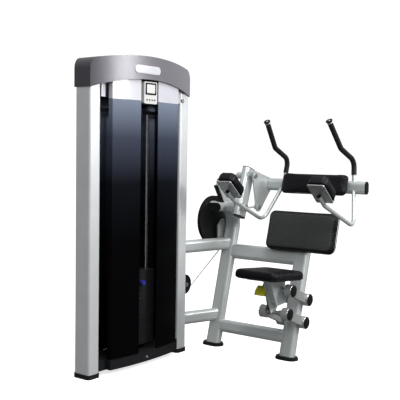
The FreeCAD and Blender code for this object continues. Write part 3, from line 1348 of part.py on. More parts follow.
def bent_strip(sketch, low, high, bend, thick):
    """A strip of even thickness with round ends, curved between two places (x, z)."""
    low, high = Vector(*low, 0), Vector(*high, 0)
    middle, run = (low + high) / 2, high - low
    inward = Vector(run.y, -run.x, 0).normalize()
    centre = middle + inward * math.sqrt(float(bend) ** 2 - (run.Length / 2) ** 2)
    half = float(thick) / 2

    def arc(about, first, through, last):
        sketch.addGeometry(Part.Arc(first, through, last), False)

    out_low, out_high = (low - centre).normalize(), (high - centre).normalize()
    along_low = Vector(out_low.y, -out_low.x, 0)
    along_high = Vector(out_high.y, -out_high.x, 0)
    if along_low.dot(run) > 0:
        along_low, along_high = -along_low, -along_high
    arc(centre, low + out_low * half, centre - inward * (float(bend) + half), high + out_high * half)
    arc(high, high + out_high * half, high - along_high * half, high - out_high * half)
    arc(centre, high - out_high * half, centre - inward * (float(bend) - half), low - out_low * half)
    arc(low, low - out_low * half, low + along_low * half, low + out_low * half)


def make_seat_lever():
    """The seat's release lever on the lower pin: a dark curved arm and a bright curved paddle."""
    _, (_, (x, z)) = seat_pivots()
    start, thick = lever_place(), S.lever_arm_thick
    outline = [(x, z, 20), (x - 50, z + 128, 14), (x - 62, z + 118, 10), (x - 34, z + 36, 12)]
    arm = pad("lever_arm", "XZ", lambda s: hull(s, outline), thick, (0, start + thick / 2, 0))
    bore = rod("lever_bore", S.pin_radius + S.running_gap, 60, (x, start - 20, z))
    keep("seat_lever_arm", cut("seat_lever_arm", arm, bore))
    middle = start + thick + S.rest_gap + S.lever_long / 2
    low, high = (x - 73, z + 108), (x - 33, z + 152)
    keep("seat_lever", pad("paddle", "XZ", lambda s: bent_strip(s, low, high, S.lever_bend, S.lever_thick),
                           S.lever_long, (0, middle, 0)))


# ---- build -------------------------------------------------------------------------------------

make_rear_upright()
make_front_upright()
cross_tube("upper_tube", S.upper_tube_tall, S.upper_tube_height)
cross_tube("lower_tube", S.lower_tube_tall, S.lower_tube_height)
connecting_tube("connecting_tube_upper", S.link_tube_upper)
connecting_tube("connecting_tube_lower", S.link_tube_lower)
make_feet()
make_frame_caps()
make_hub_bushes()
make_stop_plate()
make_posts()
make_base()
make_shrouds()
make_cap()
make_cross_members()
make_guides()
make_stack()
make_pulleys()
make_cable()
make_counter()
arm_caps = make_arm()
top_bolt = make_pivot()
make_cam()
bracket_plate, lower_pin = make_bracket()
keep("arm_bolts", group("arm_bolts", top_bolt, lower_pin))
make_lug_strip()
bar_plugs = make_handles()
beam_cap = make_beam(bracket_plate)
keep("arm_end_caps", group("arm_end_caps", *arm_caps, beam_cap, *bar_plugs))
make_upper_pad()
make_elbow_rests()
make_back_pad()
make_links()
make_seat_pins()
make_seat()
make_seat_lever()

doc.recompute()
for feature in doc.Objects:
    if "Invalid" in feature.State or "Error" in feature.State:
        raise RuntimeError("%s did not build: %s" % (feature.Name, feature.State))
os.makedirs("parts", exist_ok=True)
for name, obj in sorted(pieces.items()):
    shape = obj.Shape
    if not shape.Solids or not shape.isValid():
        raise RuntimeError("%s has no valid solid" % name)
    shape.exportStep("parts/%s.step" % name)
print("%d sub-parts" % len(pieces))
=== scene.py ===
"""Looks of the ab crunch machine: finishes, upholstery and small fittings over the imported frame.

Lengths are metres. Pads are closed surfaces worked out from an outline and a section, then let swell
as upholstery does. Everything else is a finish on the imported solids, or a small part set against them.
"""

import json
import math

import bpy
import numpy as np
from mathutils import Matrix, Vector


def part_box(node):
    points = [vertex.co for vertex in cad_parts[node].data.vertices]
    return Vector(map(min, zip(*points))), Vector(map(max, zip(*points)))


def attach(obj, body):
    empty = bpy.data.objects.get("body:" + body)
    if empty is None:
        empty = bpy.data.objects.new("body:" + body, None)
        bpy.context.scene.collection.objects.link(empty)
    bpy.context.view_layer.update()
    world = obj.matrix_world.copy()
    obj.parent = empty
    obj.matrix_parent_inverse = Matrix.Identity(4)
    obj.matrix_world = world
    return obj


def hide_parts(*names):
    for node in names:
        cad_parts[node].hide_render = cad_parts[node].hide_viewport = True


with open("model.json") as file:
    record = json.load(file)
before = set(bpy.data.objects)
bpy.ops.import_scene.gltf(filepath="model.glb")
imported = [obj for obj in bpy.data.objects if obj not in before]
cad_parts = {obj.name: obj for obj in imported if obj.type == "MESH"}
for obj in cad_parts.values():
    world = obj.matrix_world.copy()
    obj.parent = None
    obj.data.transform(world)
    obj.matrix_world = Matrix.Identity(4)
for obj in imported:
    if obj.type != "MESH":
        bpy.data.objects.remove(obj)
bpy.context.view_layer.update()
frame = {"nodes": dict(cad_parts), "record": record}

TOWER_CENTRE = -0.672
USER_SIDE = -0.56
FRAME_LEAN = math.radians(14.75)
UPPER_PAD_LEAN = math.radians(18)
ELBOW_SLOPE = math.radians(40)
SEAT_TILT = math.radians(4.5)
GRIP_TOP = (0.068, 0.217, 1.448)
GRIP_BEND = (0.192, 0.233, 1.291)
STRIP_HEIGHT = 1.588
CAP_THICK = 0.0052  # a pin cap with the gap under it
CAP_RADIUS = 0.034
CAP_BOW = 0.065
PLATE_THICK = 0.005
REST_GAP = 0.0003
BACK_CUSHION = (0.490, 0.255, 0.055)
UPPER_CUSHION = (0.466, 0.137, 0.045)
SEAT_CUSHION = (0.348, 0.290, 0.050)
ELBOW_CUSHION = (0.176, 0.124, 0.062)
ELBOW_RISE = 0.009  # how far the elbow cushions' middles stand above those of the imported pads
SEAT_RISE = 0.005  # the same for the seat's
FACE_FRONT = np.array([(1, 0, 0), (0, 0, 1), (0, -1, 0)], float)  # a plate's own axes, facing -Y


# ---- camera ------------------------------------------------------------------------------------


def stand(obj, across, upward, back, place):
    """Stands a camera or lamp at a place, by its own three axes."""
    matrix = np.eye(4)
    matrix[:3] = np.stack([across, upward, back, place], -1)
    obj.matrix_world = matrix.T.tolist()


def make_camera():
    """The camera stands at the machine's front left, a little above the seat, almost level."""
    place = np.array([-4.0615, -2.9690, 1.2528])
    yaw, pitch, roll = (math.radians(a) for a in (52.69, 3.47, 0.85))
    right = np.array([math.cos(yaw), -math.sin(yaw), 0.0])
    ahead = np.array([math.sin(yaw) * math.cos(pitch), math.cos(yaw) * math.cos(pitch), -math.sin(pitch)])
    up = np.cross(right, ahead)
    across = right * math.cos(roll) + up * math.sin(roll)
    upward = up * math.cos(roll) - right * math.sin(roll)
    camera = bpy.data.objects.new("camera", bpy.data.cameras.new("camera"))
    bpy.context.scene.collection.objects.link(camera)
    stand(camera, across, upward, -ahead, place)
    camera.data.sensor_width = 36
    camera.data.lens = 69.84
    bpy.context.scene.camera = camera


# ---- materials ---------------------------------------------------------------------------------


class Finish:
    """A node material under construction: a principled shader on object coordinates."""

    def __init__(self, name, colour, roughness, metallic=0.0, **sockets):
        self.material = bpy.data.materials.new(name)
        self.material.use_nodes = True
        self.nodes = self.material.node_tree.nodes
        self.links = self.material.node_tree.links
        self.shader = next(n for n in self.nodes if n.type == "BSDF_PRINCIPLED")
        self.where = self.node("ShaderNodeTexCoord").outputs["Object"]
        self.colour = colour
        for socket, value in dict(sockets, Roughness=roughness, Metallic=metallic).items():
            self.shader.inputs[socket].default_value = value
        self.shader.inputs["Base Color"].default_value = (*colour, 1)
        self.last_bump = None

    def node(self, kind, **settings):
        """A new shader node with its settings."""
        made = self.nodes.new(kind)
        for key, value in settings.items():
            setattr(made, key, value)
        return made

    def noise(self, scale, detail=3, stretch=None):
        """Noise of a given number of waves per metre, stretched along an axis where asked."""
        texture = self.node("ShaderNodeTexNoise")
        texture.inputs["Scale"].default_value = scale
        texture.inputs["Detail"].default_value = detail
        source = self.where
        if stretch:
            mapping = self.node("ShaderNodeMapping")
            mapping.inputs["Scale"].default_value = stretch
            self.links.new(source, mapping.inputs["Vector"])
            source = mapping.outputs["Vector"]
        self.links.new(source, texture.inputs["Vector"])
        return texture.outputs["Fac"]

    def ramp(self, factor, *stops):
        """A colour ramp through (place, colour) stops."""
        ramp = self.node("ShaderNodeValToRGB")
        elements = ramp.color_ramp.elements
        while len(elements) < len(stops):
            elements.new(0.5)
        for element, (place, colour) in zip(elements, stops):
            element.position = place
            element.color = (*colour, 1)
        self.links.new(factor, ramp.inputs["Fac"])
        return ramp.outputs["Color"]

    def between(self, factor, low, high):
        """Maps a factor from 0..1 to a range."""
        mapping = self.node("ShaderNodeMapRange")
        mapping.inputs["To Min"].default_value = low
        mapping.inputs["To Max"].default_value = high
        self.links.new(factor, mapping.inputs["Value"])
        return mapping.outputs["Result"]

    def mottle(self, scale, spread, stretch=None):
        """Lets the colour drift a little lighter and darker over the surface."""
        dark = tuple(c * (1 - spread) for c in self.colour)
        light = tuple(min(1, c * (1 + spread)) for c in self.colour)
        tint = self.ramp(self.noise(scale, 4, stretch), (0.3, dark), (0.7, light))
        self.links.new(tint, self.shader.inputs["Base Color"])
        return self

    def wear(self, scale, low, high, stretch=None):
        """Varies the roughness between two values."""
        rough = self.between(self.noise(scale, 5, stretch), low, high)
        self.links.new(rough, self.shader.inputs["Roughness"])
        return self

    def bump(self, height, strength, distance):
        """Adds a height to what the surface already has."""
        bump = self.node("ShaderNodeBump")
        bump.inputs["Strength"].default_value = strength
        bump.inputs["Distance"].default_value = distance
        self.links.new(height, bump.inputs["Height"])
        if self.last_bump:
            self.links.new(self.last_bump, bump.inputs["Normal"])
        self.last_bump = bump.outputs["Normal"]
        self.links.new(self.last_bump, self.shader.inputs["Normal"])
        return self

    def grain(self, scale, strength, distance=0.0002):
        """Fine orange-peel or sand grain."""
        return self.bump(self.noise(scale, 2), strength, distance)


def height_tint(finish, low, high, stops, axis="Z"):
    """Colours a surface by its place along an axis, through (share, colour) stops."""
    split = finish.node("ShaderNodeSeparateXYZ")
    finish.links.new(finish.where, split.inputs["Vector"])
    share = finish.node("ShaderNodeMapRange")
    share.inputs["From Min"].default_value = low
    share.inputs["From Max"].default_value = high
    finish.links.new(split.outputs[axis], share.inputs["Value"])
    tint = finish.ramp(share.outputs["Result"], *stops)
    finish.links.new(tint, finish.shader.inputs["Base Color"])
    return finish


def powder_coat(name, colour, rough, metallic=0.4):
    """Silver powder coat: a fine orange peel over a slightly mottled metallic paint."""
    finish = Finish(name, colour, rough, metallic, **{"Coat Weight": 0.25, "Coat Roughness": 0.25})
    return finish.mottle(7, 0.035).wear(40, rough - 0.05, rough + 0.07).grain(1400, 0.16).material


def gloss_panel(name, colour, rough):
    """A polished sheet with a faint ripple that bends its reflections."""
    finish = Finish(name, colour, rough, 0.0, **{"Coat Weight": 0.4, "Coat Roughness": 0.08, "IOR": 1.45})
    return finish.mottle(5, 0.06).bump(finish.noise(3.0, 1), 0.25, 0.004).material


def shroud_panel_painted_sheen(name):
    """Smoked black sheet with a painted sheen: its colour clears from black to a pale blue-grey toward its
    top edge.
    """
    finish = Finish(name, (0.003, 0.0032, 0.004), 0.3, **{"Specular IOR Level": 0.03})
    # painted sheen: the base colour turns pale blue-grey toward the top edge
    stops = ((0.0, (0.0015, 0.0016, 0.002)), (0.4, (0.005, 0.006, 0.009)), (0.72, (0.05, 0.06, 0.09)),
             (1.0, (0.22, 0.26, 0.34)))
    height_tint(finish, 0.75, 1.56, stops)
    return finish.wear(8, 0.26, 0.36).bump(finish.noise(3.0, 1), 0.15, 0.003).material


def cap_enamel_painted_reflection(name):
    """Gunmetal enamel with a painted reflection: its colour lightens from the outer end of the cap toward the
    machine.
    """
    finish = Finish(name, (0.24, 0.23, 0.26), 0.36, 0.35, **{"Coat Weight": 0.2, "Coat Roughness": 0.2})
    # painted reflection: the colour lightens along X from the cap's outer end toward the machine
    height_tint(finish, -1.1, -0.25, ((0.0, (0.085, 0.08, 0.095)), (0.16, (0.13, 0.125, 0.145)),
                                      (0.5, (0.18, 0.172, 0.195)), (1.0, (0.33, 0.32, 0.36))), "X")
    return finish.wear(40, 0.32, 0.42).grain(1200, 0.12).material


def soft_black(name, colour, rough, scale=900):
    """Moulded black rubber or plastic with a matte, slightly dusty face."""
    finish = Finish(name, colour, rough, 0.0, **{"Specular IOR Level": 0.16})
    return finish.mottle(25, 0.18).wear(60, rough - 0.08, rough + 0.08).grain(scale, 0.3).material


def bare_steel(name, colour, rough, stretch):
    """Turned or drawn steel with fine lines along one way."""
    finish = Finish(name, colour, rough, 1.0)
    finish.mottle(30, 0.05).wear(220, rough - 0.06, rough + 0.08, stretch)
    return finish.bump(finish.noise(900, 2, stretch), 0.12, 0.0002).material


def leather_cloth(name, colour):
    """Black upholstery vinyl: a pebbled leather grain, with a low sheen where it is stretched."""
    finish = Finish(name, colour, 0.42, 0.0, **{"Specular IOR Level": 0.18, "Coat Weight": 0.02})
    cells = finish.node("ShaderNodeTexVoronoi", feature="DISTANCE_TO_EDGE")
    cells.inputs["Scale"].default_value = 520
    cells.inputs["Randomness"].default_value = 1.0
    finish.links.new(finish.where, cells.inputs["Vector"])
    pebbles = finish.between(cells.outputs["Distance"], 0.0, 4.0)
    finish.mottle(18, 0.16).wear(35, 0.34, 0.48)
    return finish.bump(pebbles, 0.4, 0.0003).bump(finish.noise(28, 3), 0.25, 0.0015).material


def panel_cloth(name, border, thread_dark, thread_light):
    """A pad's cover: plain vinyl round the edge, and fine sloping ribs where the panel attribute is 1."""
    finish = Finish(name, border, 0.5, 0.0, **{"Specular IOR Level": 0.2})
    slope = finish.node("ShaderNodeMapping")
    slope.inputs["Rotation"].default_value = (math.radians(-18), 0, 0)
    finish.links.new(finish.where, slope.inputs["Vector"])
    ribs = finish.node("ShaderNodeTexWave", wave_type="BANDS", bands_direction="Z")
    ribs.inputs["Scale"].default_value = 30
    ribs.inputs["Distortion"].default_value = 0.25
    finish.links.new(slope.outputs["Vector"], ribs.inputs["Vector"])
    cross = finish.node("ShaderNodeTexWave", wave_type="BANDS", bands_direction="Y")
    cross.inputs["Scale"].default_value = 120
    finish.links.new(slope.outputs["Vector"], cross.inputs["Vector"])
    crossed = finish.node("ShaderNodeMath", operation="MULTIPLY")
    finish.links.new(ribs.outputs["Fac"], crossed.inputs[0])
    finish.links.new(finish.between(cross.outputs["Fac"], 0.93, 1.0), crossed.inputs[1])
    threads = finish.ramp(crossed.outputs[0], (0.15, thread_dark), (0.75, thread_light))
    mask = finish.node("ShaderNodeAttribute", attribute_name="panel").outputs["Fac"]
    blend = finish.node("ShaderNodeMix", data_type="RGBA")
    finish.links.new(mask, blend.inputs["Factor"])
    vinyl = finish.ramp(finish.noise(18, 4), (0.3, tuple(c * 0.85 for c in border)), (0.7, border))
    finish.links.new(vinyl, blend.inputs["A"])
    finish.links.new(threads, blend.inputs["B"])
    finish.links.new(blend.outputs["Result"], finish.shader.inputs["Base Color"])
    finish.links.new(finish.between(mask, 0.42, 0.72), finish.shader.inputs["Roughness"])
    raised = finish.node("ShaderNodeMath", operation="MULTIPLY")
    finish.links.new(crossed.outputs[0], raised.inputs[0])
    finish.links.new(mask, raised.inputs[1])
    return finish.bump(raised.outputs[0], 0.5, 0.0006).bump(finish.noise(700, 2), 0.2, 0.0003).material


def make_materials():
    """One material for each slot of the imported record."""
    return {
        "frame_paint": powder_coat("silver_powder_coat", (0.64, 0.68, 0.675), 0.34),
        "post_paint": powder_coat("post_powder_coat", (0.79, 0.815, 0.825), 0.42),
        "plate_paint": powder_coat("steel_grey_enamel", (0.46, 0.465, 0.47), 0.32),
        "black_paint": soft_black("black_powder_coat", (0.014, 0.0145, 0.016), 0.5, 700),
        # the shroud sheet, with a painted sheen toward its top
        "shroud_black": shroud_panel_painted_sheen("smoked_acrylic_painted_sheen"),
        "band_paint": gloss_panel("white_acrylic", (0.70, 0.70, 0.76), 0.3),
        # the tower cap, with a painted reflection lightening toward the machine
        "cap_paint": cap_enamel_painted_reflection("gunmetal_enamel_painted_reflection"),
        "black_rubber": soft_black("black_rubber", (0.018, 0.018, 0.02), 0.5),
        "black_plastic": soft_black("black_plastic", (0.008, 0.008, 0.009), 0.4),
        "bronze": bare_steel("bronze", (0.55, 0.36, 0.14), 0.35, (1, 8, 1)),
        "polished_steel": bare_steel("polished_steel", (0.72, 0.72, 0.74), 0.16, (1, 1, 0.05)),
        "zinc_steel": bare_steel("zinc_steel", (0.46, 0.47, 0.48), 0.36, (1, 1, 1)),
        "iron": soft_black("painted_iron", (0.016, 0.016, 0.018), 0.5, 350),
        "vinyl": leather_cloth("black_vinyl", (0.005, 0.005, 0.007)),
        "woven_vinyl": panel_cloth(
            "twill_panel", (0.005, 0.005, 0.007), (0.026, 0.028, 0.028), (0.062, 0.066, 0.066)),
        "counter_white": gloss_panel("white_plastic", (0.78, 0.78, 0.76), 0.35),
        "button_grey": soft_black("grey_keys", (0.16, 0.165, 0.17), 0.5),
        "lever_yellow": gloss_panel("yellow_plastic", (0.92, 0.88, 0.03), 0.38),
        "knob_blue": gloss_panel("blue_plastic", (0.03, 0.03, 0.33), 0.3),
    }


def dress_nodes(materials):
    """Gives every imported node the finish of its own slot."""
    for part in frame["record"]["subparts"]:
        node = frame["nodes"][part["node"]]
        finish = materials[part["material_slot"]]
        node.data.materials.clear()
        node.data.materials.append(finish)


# ---- meshes ------------------------------------------------------------------------------------


def mesh_object(name, points, faces, material, slot, body):
    """Puts points and faces into a mesh at the origin, with its finish, riding on a body."""
    mesh = bpy.data.meshes.new(name)
    mesh.from_pydata(points.tolist(), [], faces)
    mesh.validate()
    mesh.update()
    mesh.polygons.foreach_set("use_smooth", [True] * len(mesh.polygons))
    made = bpy.data.objects.new(name, mesh)
    bpy.context.scene.collection.objects.link(made)
    mesh.materials.append(material)
    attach(made, body)
    return made


def tube_faces(rings, sides, first_pole=None, last_pole=None):
    """Quads between rings of points, closed round, with fans to a pole at each end where there is one."""
    ring, side = np.meshgrid(np.arange(rings - 1), np.arange(sides), indexing="ij")
    ahead = (side + 1) % sides
    quads = np.stack(
        [ring * sides + side, ring * sides + ahead, (ring + 1) * sides + ahead, (ring + 1) * sides + side], -1
    )
    faces = quads.reshape(-1, 4).tolist()
    around = np.arange(sides)
    following = (around + 1) % sides
    if first_pole is not None:
        faces += np.stack([following, around, np.full(sides, first_pole)], -1).tolist()
    if last_pole is not None:
        base = (rings - 1) * sides
        faces += np.stack([base + around, base + following, np.full(sides, last_pole)], -1).tolist()
    return faces


def closed_tube_faces(rings, sides):
    """The faces of a tube whose last ring joins its first, facing outward."""
    faces = tube_faces(rings, sides)
    around = np.arange(sides)
    last = (rings - 1) * sides + around
    faces += np.stack([last, np.roll(last, -1), np.roll(around, -1), around], -1).tolist()
    return [face[::-1] for face in faces]


def rounded_outline(wide, tall, corner, count):
    """A rounded rectangle as points evenly spread round it: each is the nearest point of the corner
    circle's centre box to a direction, pushed out by the corner radius."""
    angle = np.linspace(0, 2 * np.pi, count, endpoint=False)
    reach = np.stack([np.cos(angle) * wide / 2, np.sin(angle) * tall / 2], -1)
    scale = 1 / np.maximum(np.abs(np.cos(angle)), np.abs(np.sin(angle)))
    square = reach * scale[:, None]
    inner = np.array([wide / 2 - corner, tall / 2 - corner])
    core = np.clip(square, -inner, inner)
    away = square - core
    length = np.linalg.norm(away, axis=1)
    outward = away / np.maximum(length, 1e-9)[:, None]
    return core + outward * corner


def pad_frame(centre, across, upward):
    """A local frame whose third axis is the pad's front face."""
    across, upward = np.array(across, float), np.array(upward, float)
    return np.array(centre, float), np.stack([across, upward, np.cross(across, upward)])


def pad_surface(wide, tall, thick, corner, crown, edge, count=160):
    """A crowned slab: rings of the outline shrink toward the middle of the front over a low dome,
    turn round a rounded edge, run down the side and close under a flat back."""
    outline = rounded_outline(wide, tall, corner, count)
    smallest = min(wide, tall) / 2
    heights, shrinks = [], []
    for share in np.linspace(0.04, 0.96, 22):
        shrinks.append(share)
        heights.append(thick / 2 + crown * (1 - share**2) - crown)
    turn = np.linspace(0, np.pi / 2, 8)
    for angle in turn:
        shrinks.append(1 - edge * (1 - math.sin(angle)) / smallest)
        heights.append(thick / 2 - crown - edge * (1 - math.cos(angle)))
    for angle in turn:
        shrinks.append(1 - edge * (1 - math.cos(angle)) / smallest)
        heights.append(-thick / 2 + edge * (1 - math.sin(angle)))
    for share in np.linspace(0.94, 0.04, 16):
        shrinks.append(share)
        heights.append(-thick / 2)
    shrinks, heights = np.array(shrinks), np.array(heights)
    flat = outline[None] * shrinks[:, None, None]
    rings = np.concatenate([flat, np.broadcast_to(heights[:, None, None], (*flat.shape[:2], 1))], -1)
    points = rings.reshape(-1, 3)
    poles = np.array([[0, 0, thick / 2], [0, 0, -thick / 2]])
    total = len(points)
    faces = tube_faces(len(shrinks), count, total, total + 1)
    return np.concatenate([points, poles]), [f[::-1] for f in faces]


def to_world(points, place):
    """Local pad points carried to the machine."""
    centre, axes = place
    return centre + points @ axes


def to_local(points, place):
    """Points of the machine in a pad's own frame."""
    centre, axes = place
    return (points - centre) @ axes.T


def mesh_points(obj):
    """A mesh's points as an array."""
    points = np.empty(len(obj.data.vertices) * 3)
    obj.data.vertices.foreach_get("co", points)
    return points.reshape(-1, 3)


def set_points(obj, points):
    """Moves a mesh's points to new places."""
    obj.data.vertices.foreach_set("co", points.ravel())
    obj.data.update()


def swell(obj, voxel, cap):
    """Upholstery under pressure: the cover is remeshed evenly, blown up as cloth, and each point kept
    within a cap of where it began."""
    bpy.context.view_layer.objects.active = obj
    remesh = obj.modifiers.new("even", "REMESH")
    remesh.mode = "VOXEL"
    remesh.voxel_size = voxel
    bpy.ops.object.modifier_apply(modifier=remesh.name)
    before = mesh_points(obj)
    cloth = obj.modifiers.new("cover", "CLOTH")
    cloth.settings.use_pressure = True
    cloth.settings.uniform_pressure_force = 4
    cloth.settings.tension_stiffness = 25
    cloth.settings.compression_stiffness = 25
    cloth.settings.bending_stiffness = 2
    cloth.settings.effector_weights.gravity = 0
    cloth.point_cache.frame_start = 1
    cloth.point_cache.frame_end = 14
    for step in range(1, 15):
        bpy.context.scene.frame_set(step)
    shaped = obj.evaluated_get(bpy.context.evaluated_depsgraph_get())
    after = mesh_points(shaped)
    obj.modifiers.remove(cloth)
    bpy.context.scene.frame_set(1)
    moved = after - before
    length = np.linalg.norm(moved, axis=1, keepdims=True)
    moved *= np.minimum(1, cap / np.maximum(length, 1e-9))
    set_points(obj, before + moved)


def smooth_faces(obj):
    """Smooth shading over a surface one step finer."""
    obj.data.polygons.foreach_set("use_smooth", [True] * len(obj.data.polygons))
    finer = obj.modifiers.new("finer", "SUBSURF")
    finer.levels = finer.render_levels = 1


def bead(name, outline, radius, place, height, material, slot, body):
    """A welt: a round cord carried along a closed outline at one height of the pad."""
    count, sides = len(outline), 8
    path = np.concatenate([outline, np.full((count, 1), height)], -1)
    ahead = np.roll(path, -1, 0) - np.roll(path, 1, 0)
    ahead /= np.linalg.norm(ahead, axis=1, keepdims=True)
    up = np.array([0.0, 0.0, 1.0])
    side = np.cross(ahead, up)
    angle = np.linspace(0, 2 * np.pi, sides, endpoint=False)
    rings = path[:, None] + radius * (
        side[:, None] * np.cos(angle)[None, :, None] + up * np.sin(angle)[None, :, None]
    )
    points = to_world(rings.reshape(-1, 3), place)
    return mesh_object(name, points, closed_tube_faces(count, sides), material, slot, body)


def cushion(name, size, corner, crown, place, material, slot, body, panel=None):
    """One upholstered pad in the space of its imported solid, with a welt round its back edge. The cover
    starts a little small, and is brought back to its full width and height after it has swelled."""
    wide, tall, thick = size
    shrink, cap, voxel = 0.0025, 0.004, 0.006
    edge = min(0.016, thick * 0.3)
    start = wide - 2 * shrink, tall - 2 * shrink, thick - shrink
    points, faces = pad_surface(*start, corner - shrink, crown, edge)
    made = mesh_object(name, to_world(points, place), faces, material, slot, body)
    swell(made, voxel, cap)
    local = to_local(mesh_points(made), place)
    half = thick / 2
    local[:, :2] *= np.array([wide / 2 - shrink, tall / 2 - shrink]) / np.abs(local[:, :2]).max(axis=0)
    local[:, 2] = np.clip(local[:, 2], -half, half + cap)
    set_points(made, to_world(local, place))
    if panel:
        mark_panel(made, local, wide - 2 * panel, tall - 2 * panel, corner - panel * 0.6)
    smooth_faces(made)
    inset, above_back = 0.004, 0.011
    outline = rounded_outline(wide - 2 * inset, tall - 2 * inset, corner - inset, 200)
    bead(name + "_welt", outline, 0.0022, place, above_back - half, material, slot, body)
    return made


def mark_panel(obj, local, wide, tall, corner):
    """Writes the panel attribute: 1 inside the front panel and 0 on the border."""
    inner = np.array([wide / 2 - corner, tall / 2 - corner])
    away = np.abs(local[:, :2]) - inner
    outside = np.linalg.norm(np.maximum(away, 0), axis=1) + np.minimum(away.max(axis=1), 0) - corner
    front = local[:, 2] > 0
    mask = np.clip(0.5 - outside / 0.003, 0, 1) * front
    attribute = obj.data.attributes.new("panel", "FLOAT", "POINT")
    attribute.data.foreach_set("value", mask.astype(np.float32))


def centre_of(node):
    """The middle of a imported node's box."""
    low, high = np.array(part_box(node))
    return (low + high) / 2


def make_pads(materials):
    """The five cushions: back, upper, seat and the two elbow pads."""
    vinyl, woven = materials["vinyl"], materials["woven_vinyl"]
    across = (0, -1, 0)
    lean_up = (math.sin(FRAME_LEAN), 0, math.cos(FRAME_LEAN))
    place = pad_frame(centre_of("back_pad"), across, lean_up)
    back = cushion("back_cushion", BACK_CUSHION, 0.045, 0.007, place, woven, "woven_vinyl", "frame",
                   panel=0.02)
    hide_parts("back_pad")
    roll_up = (math.sin(UPPER_PAD_LEAN), 0, math.cos(UPPER_PAD_LEAN))
    place = pad_frame(centre_of("upper_pad"), across, roll_up)
    upper = cushion("upper_cushion", UPPER_CUSHION, 0.030, 0.009, place, vinyl, "vinyl", "arm")
    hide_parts("upper_pad")
    seat_across = (math.cos(SEAT_TILT), 0, -math.sin(SEAT_TILT))
    centre = centre_of("seat_pad") + SEAT_RISE * np.cross(seat_across, (0, 1, 0))
    place = pad_frame(centre, seat_across, (0, 1, 0))
    wide, tall, thick = SEAT_CUSHION
    seat = cushion("seat_cushion", (wide, tall, thick + 2 * SEAT_RISE), 0.036, 0.010, place, vinyl,
                   "vinyl", "seat_carrier")
    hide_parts("seat_pad")
    wide, tall, thick = ELBOW_CUSHION
    for name, (centre, axes) in elbow_places():
        raised = (centre + axes[2] * ELBOW_RISE, axes)
        elbow = cushion("elbow_cushion_" + name, (wide, tall, thick + 2 * ELBOW_RISE), 0.028, 0.016,
                        raised, vinyl, "vinyl", "arm")
        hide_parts("elbow_pads")


def elbow_places():
    """The two elbow cushions' frames: down the slope, across the machine, and out of the plate."""
    low, high = np.array(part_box("elbow_pads"))
    half = ELBOW_CUSHION[1] / 2
    across = (math.cos(ELBOW_SLOPE), 0, -math.sin(ELBOW_SLOPE))
    for name, y in (("left", low[1] + half), ("right", high[1] - half)):
        yield name, pad_frame(((low[0] + high[0]) / 2, y, (low[2] + high[2]) / 2), across, (0, 1, 0))


# ---- small fittings ----------------------------------------------------------------------------


def turned(profile, spot, axis, sides=32):
    """A form turned round an axis: each (radius, height) of the profile, from its foot up, is a ring
    about the axis, and the two ends close to a point on it."""
    axis = np.array(axis, float) / np.linalg.norm(axis)
    side = np.cross(axis, (0.31, 0.87, 0.12) if abs(axis[1]) < 0.9 else (1, 0, 0))
    side /= np.linalg.norm(side)
    other = np.cross(axis, side)
    radius, height = np.array(profile, float).T
    angle = np.linspace(0, 2 * np.pi, sides, endpoint=False)
    spread = side * np.cos(angle)[:, None] + other * np.sin(angle)[:, None]
    rings = radius[:, None, None] * spread[None] + height[:, None, None] * axis
    poles = np.array([height[0] * axis, height[-1] * axis])
    points = np.concatenate([rings.reshape(-1, 3), poles]) + np.array(spot, float)
    total = len(profile) * sides
    return points, tube_faces(len(profile), sides, total, total + 1)


def ring(spot, axis, radius, thick, sides=48, round_sides=10):
    """A round ring: a small circle carried about an axis, closed both ways."""
    axis = np.array(axis, float) / np.linalg.norm(axis)
    side = np.cross(axis, (1, 0, 0))
    side /= np.linalg.norm(side)
    other = np.cross(axis, side)
    around = np.linspace(0, 2 * np.pi, sides, endpoint=False)
    small = np.linspace(0, 2 * np.pi, round_sides, endpoint=False)
    out = side * np.cos(around)[:, None] + other * np.sin(around)[:, None]
    rings = out[:, None] * (radius + thick * np.cos(small))[None, :, None] + axis * (
        thick * np.sin(small)[None, :, None])
    return rings.reshape(-1, 3) + np.array(spot, float), closed_tube_faces(sides, round_sides)


def joined(shapes):
    """Several shapes as one set of points and faces."""
    points, faces, start = [], [], 0
    for spots, sides in shapes:
        points.append(spots)
        faces += [[corner + start for corner in face] for face in sides]
        start += len(spots)
    return np.concatenate(points), faces


def screw_head(spot, axis, radius):
    """A domed button-head screw with a round socket."""
    tall = radius * 0.55
    socket = radius * 0.42
    return turned([
        (radius * 0.5, -0.001), (radius, -0.001), (radius, tall * 0.15), (radius * 0.94, tall * 0.5),
        (radius * 0.75, tall * 0.85), (socket, tall), (socket, tall * 0.4), (socket * 0.9, tall * 0.35),
    ], spot, axis, 20)


def slab(wide, tall, corner, thick, edge, count=96):
    """A thin rounded plate: its outline, pulled in over a soft front edge, above a flat back."""
    outline = rounded_outline(wide, tall, corner, count)
    smallest = min(wide, tall) / 2
    shares = [0.02, 0.5, 1 - 1.2 * edge / smallest, 1 - 0.3 * edge / smallest, 1.0, 1.0, 0.5, 0.02]
    heights = [thick, thick, thick, thick - 0.3 * edge, thick - edge, 0.0, 0.0, 0.0]
    flat = outline[None] * np.array(shares)[:, None, None]
    depth = np.broadcast_to(np.array(heights)[:, None, None], (*flat.shape[:2], 1))
    points = np.concatenate([np.concatenate([flat, depth], -1).reshape(-1, 3), [[0, 0, thick], [0, 0, 0]]])
    total = len(shares) * count
    return points, [face[::-1] for face in tube_faces(len(shares), count, total, total + 1)]


